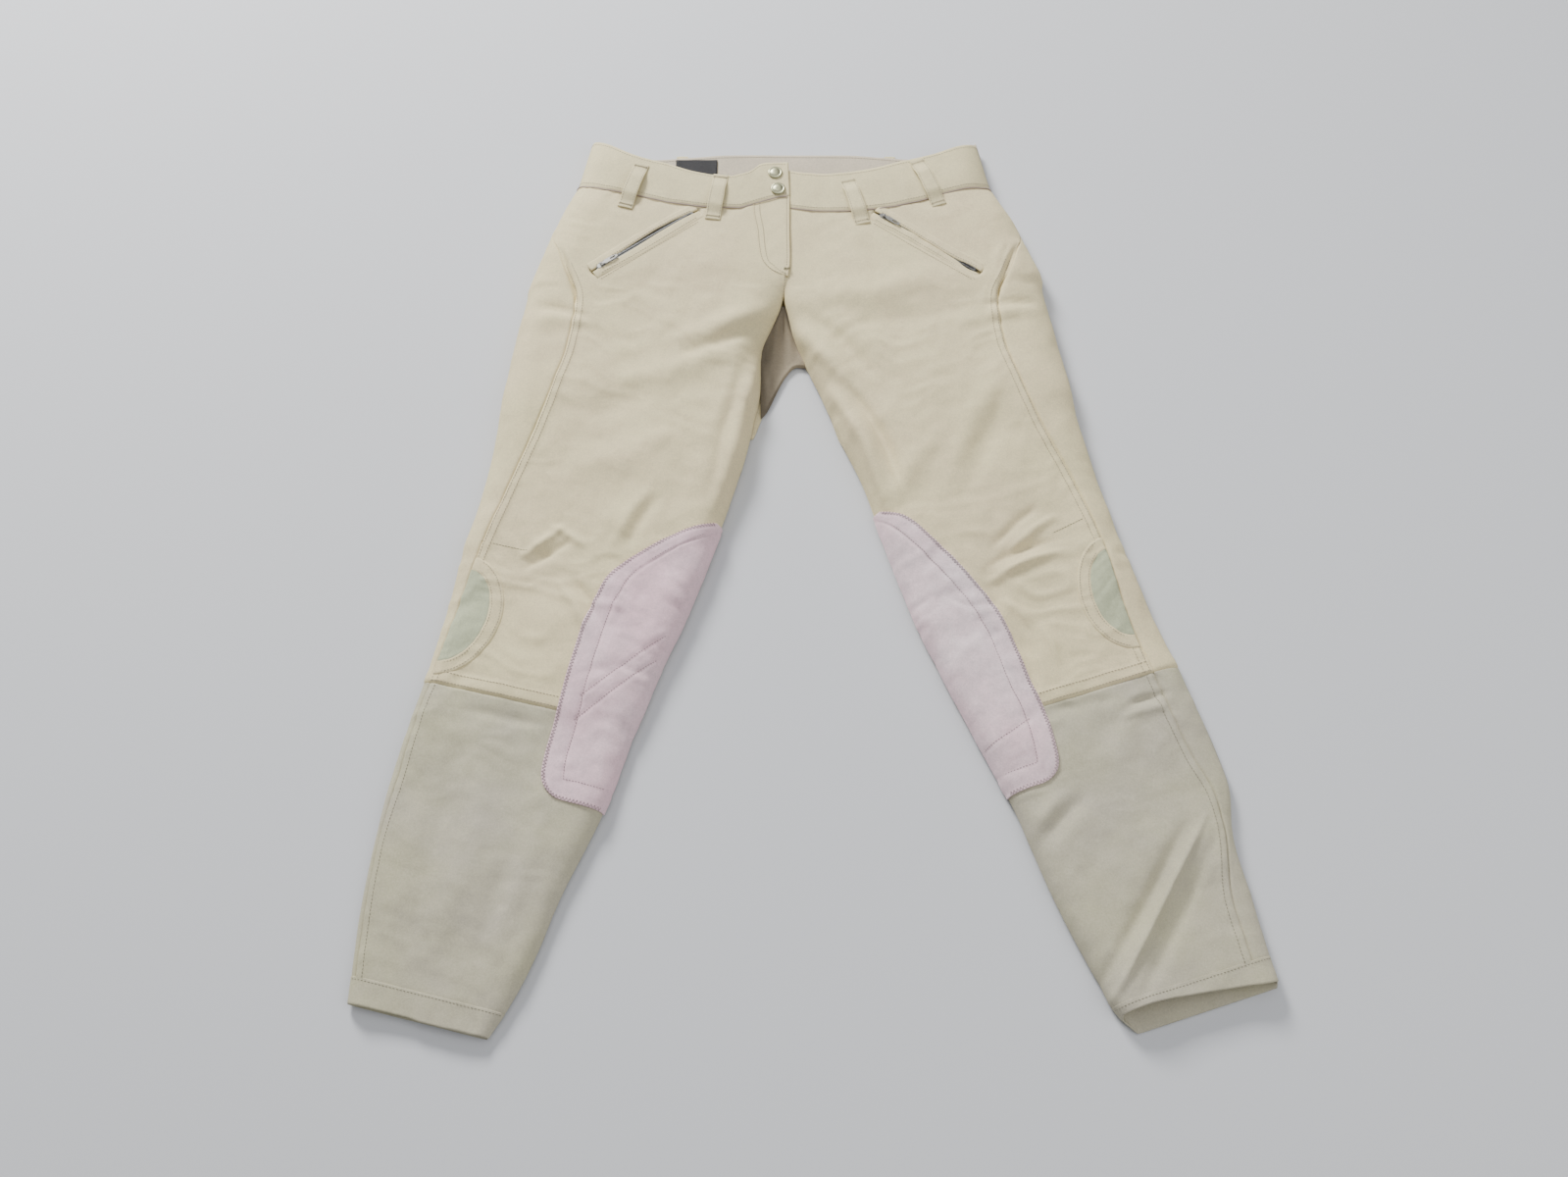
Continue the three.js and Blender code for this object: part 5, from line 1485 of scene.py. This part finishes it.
def pocket(side):
    name = f"{side.name}_pocket"
    pocket_lip(side, "upper", 1.0)
    pocket_lip(side, "lower", -1.0)
    # the second row, further down
    p, n = side.master.over(*pocket_points(side, np.linspace(0.03, 1.02, 60), -13.2), 0.1)
    attach(dashes(f"{name}_stitch_outer", p, n, THREAD, length=2.0, pitch=2.8))
    # tape under the teeth
    x, y = pocket_points(side, np.linspace(0.0, 1.0, 50)[:, None], np.linspace(-8.0, 8.0, 8)[None])
    grid = np.stack([x, y, np.full(x.shape, ZIP_LEVEL[side.name] - 1.55)], axis=-1)
    piece(f"{name}_tape_cloth", grid, 0.6, TAPE, [f"{name}_zip_tape"])
    # the bag, which hangs inside from the zip
    bag_low, bag_high = box_of(f"{name}_bag")
    u, w = np.linspace(0, 1, 30), np.linspace(0, 1, 26)[None]
    x, y = pocket_points(side, u[:, None], 0 * w)
    y = y - np.interp(u, [0, 0.2, 0.8, 1.0], [58, 84, 78, 50])[:, None] * w
    z = bag_high[2] - 0.6 + 0.5 * noise(x / 22, y / 22, side.seed + 77)
    grid = np.stack([x, np.maximum(y, bag_low[1] + 1), z], axis=-1)
    piece(f"{name}_bag_cloth", grid, 0.8, LINING, [f"{name}_bag"])


for side in SIDES:
    pocket(side)

# ------------------------------------------------------------------ snaps and zip metal
CAP = [(7.2, 0.0), (7.5, 0.35), (7.45, 0.8), (7.1, 1.2), (6.6, 1.4), (6.1, 1.42), (5.7, 1.25), (5.35, 1.05),
       (5.0, 1.12), (4.6, 1.4), (3.8, 1.72), (2.8, 1.92), (1.6, 2.02), (0.6, 2.05)]


def lathe(name, centre, profile, material, sides=56):
    """A solid of revolution from (radius, height) pairs."""
    angle = np.arange(sides) * 2 * math.pi / sides
    r, z = np.array(profile).T[:, :, None]
    ring = np.stack([r * np.cos(angle), r * np.sin(angle), z + 0 * angle], axis=-1) + centre
    return mesh_object(name, ring.reshape(-1, 3), ring_faces(len(profile), sides), material)


for which in ("lower", "upper"):
    low, high = box_of(f"snap_cap_{which}")
    centre = np.array([(low[0] + high[0]) / 2, (low[1] + high[1]) / 2, low[2] + 0.75])
    obj = lathe(f"snap_cap_{which}_metal", centre, CAP, SNAP)
    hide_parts(f"snap_cap_{which}")
    attach(obj, "fly_flap")

FINISHES = {"snap_": SNAP, "_teeth": TEETH, "slider": SLIDER, "pull": SLIDER}
for node_name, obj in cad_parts.items():
    for part, finish in FINISHES.items():
        if part in node_name:
            obj.data.materials.clear()
            obj.data.materials.append(finish)
            break

for obj, rests_on in sheets:
    declare_sheet(obj)

# ------------------------------------------------------------------ light, floor and camera
def soft_light(name, place, aim, size, power):
    data = bpy.data.lights.new(name, "AREA")
    data.shape, data.size, data.size_y, data.energy = "RECTANGLE", size[0], size[1], power
    light = bpy.data.objects.new(name, data)
    light.location = place
    light.rotation_euler = (Vector(aim) - Vector(place)).to_track_quat("-Z", "Y").to_euler()
    bpy.context.collection.objects.link(light)


soft_light("key", (-1.3, 2.5, 1.55), (0.0, -0.05, 0), (0.9, 0.8), 176)
soft_light("fill", (1.9, -0.9, 2.0), (0.15, 0, 0), (2.2, 2.2), 32)
soft_light("top", (-0.3, 0.6, 3.0), (0, 0, 0), (2.4, 2.4), 22)

world = bpy.data.worlds.new("studio")
world.use_nodes = True
world.node_tree.nodes["Background"].inputs[0].default_value = (0.93, 0.95, 1.0, 1)
world.node_tree.nodes["Background"].inputs[1].default_value = 0.34
bpy.context.scene.world = world

floor_mesh = bpy.data.meshes.new("floor")
floor_mesh.from_pydata([(-4, -4, 0), (4, -4, 0), (4, 4, 0), (-4, 4, 0)], [], [(0, 1, 2, 3)])
floor_object = bpy.data.objects.new("floor", floor_mesh)
bpy.context.collection.objects.link(floor_object)
floor_material, tree, shader = new_material("floor_paint")
shader.inputs["Base Color"].default_value = (0.62, 0.63, 0.65, 1)
shader.inputs["Roughness"].default_value = 0.85
floor_object.data.materials.append(floor_material)

camera_data = bpy.data.cameras.new("camera")
camera_data.lens, camera_data.sensor_width = 36.4, 36.0
camera = bpy.data.objects.new("camera", camera_data)
camera.location = (-0.025, -0.685, 1.355)
camera.rotation_euler = (math.radians(90 - 65), 0, 0)
bpy.context.collection.objects.link(camera)
bpy.context.scene.camera = camera
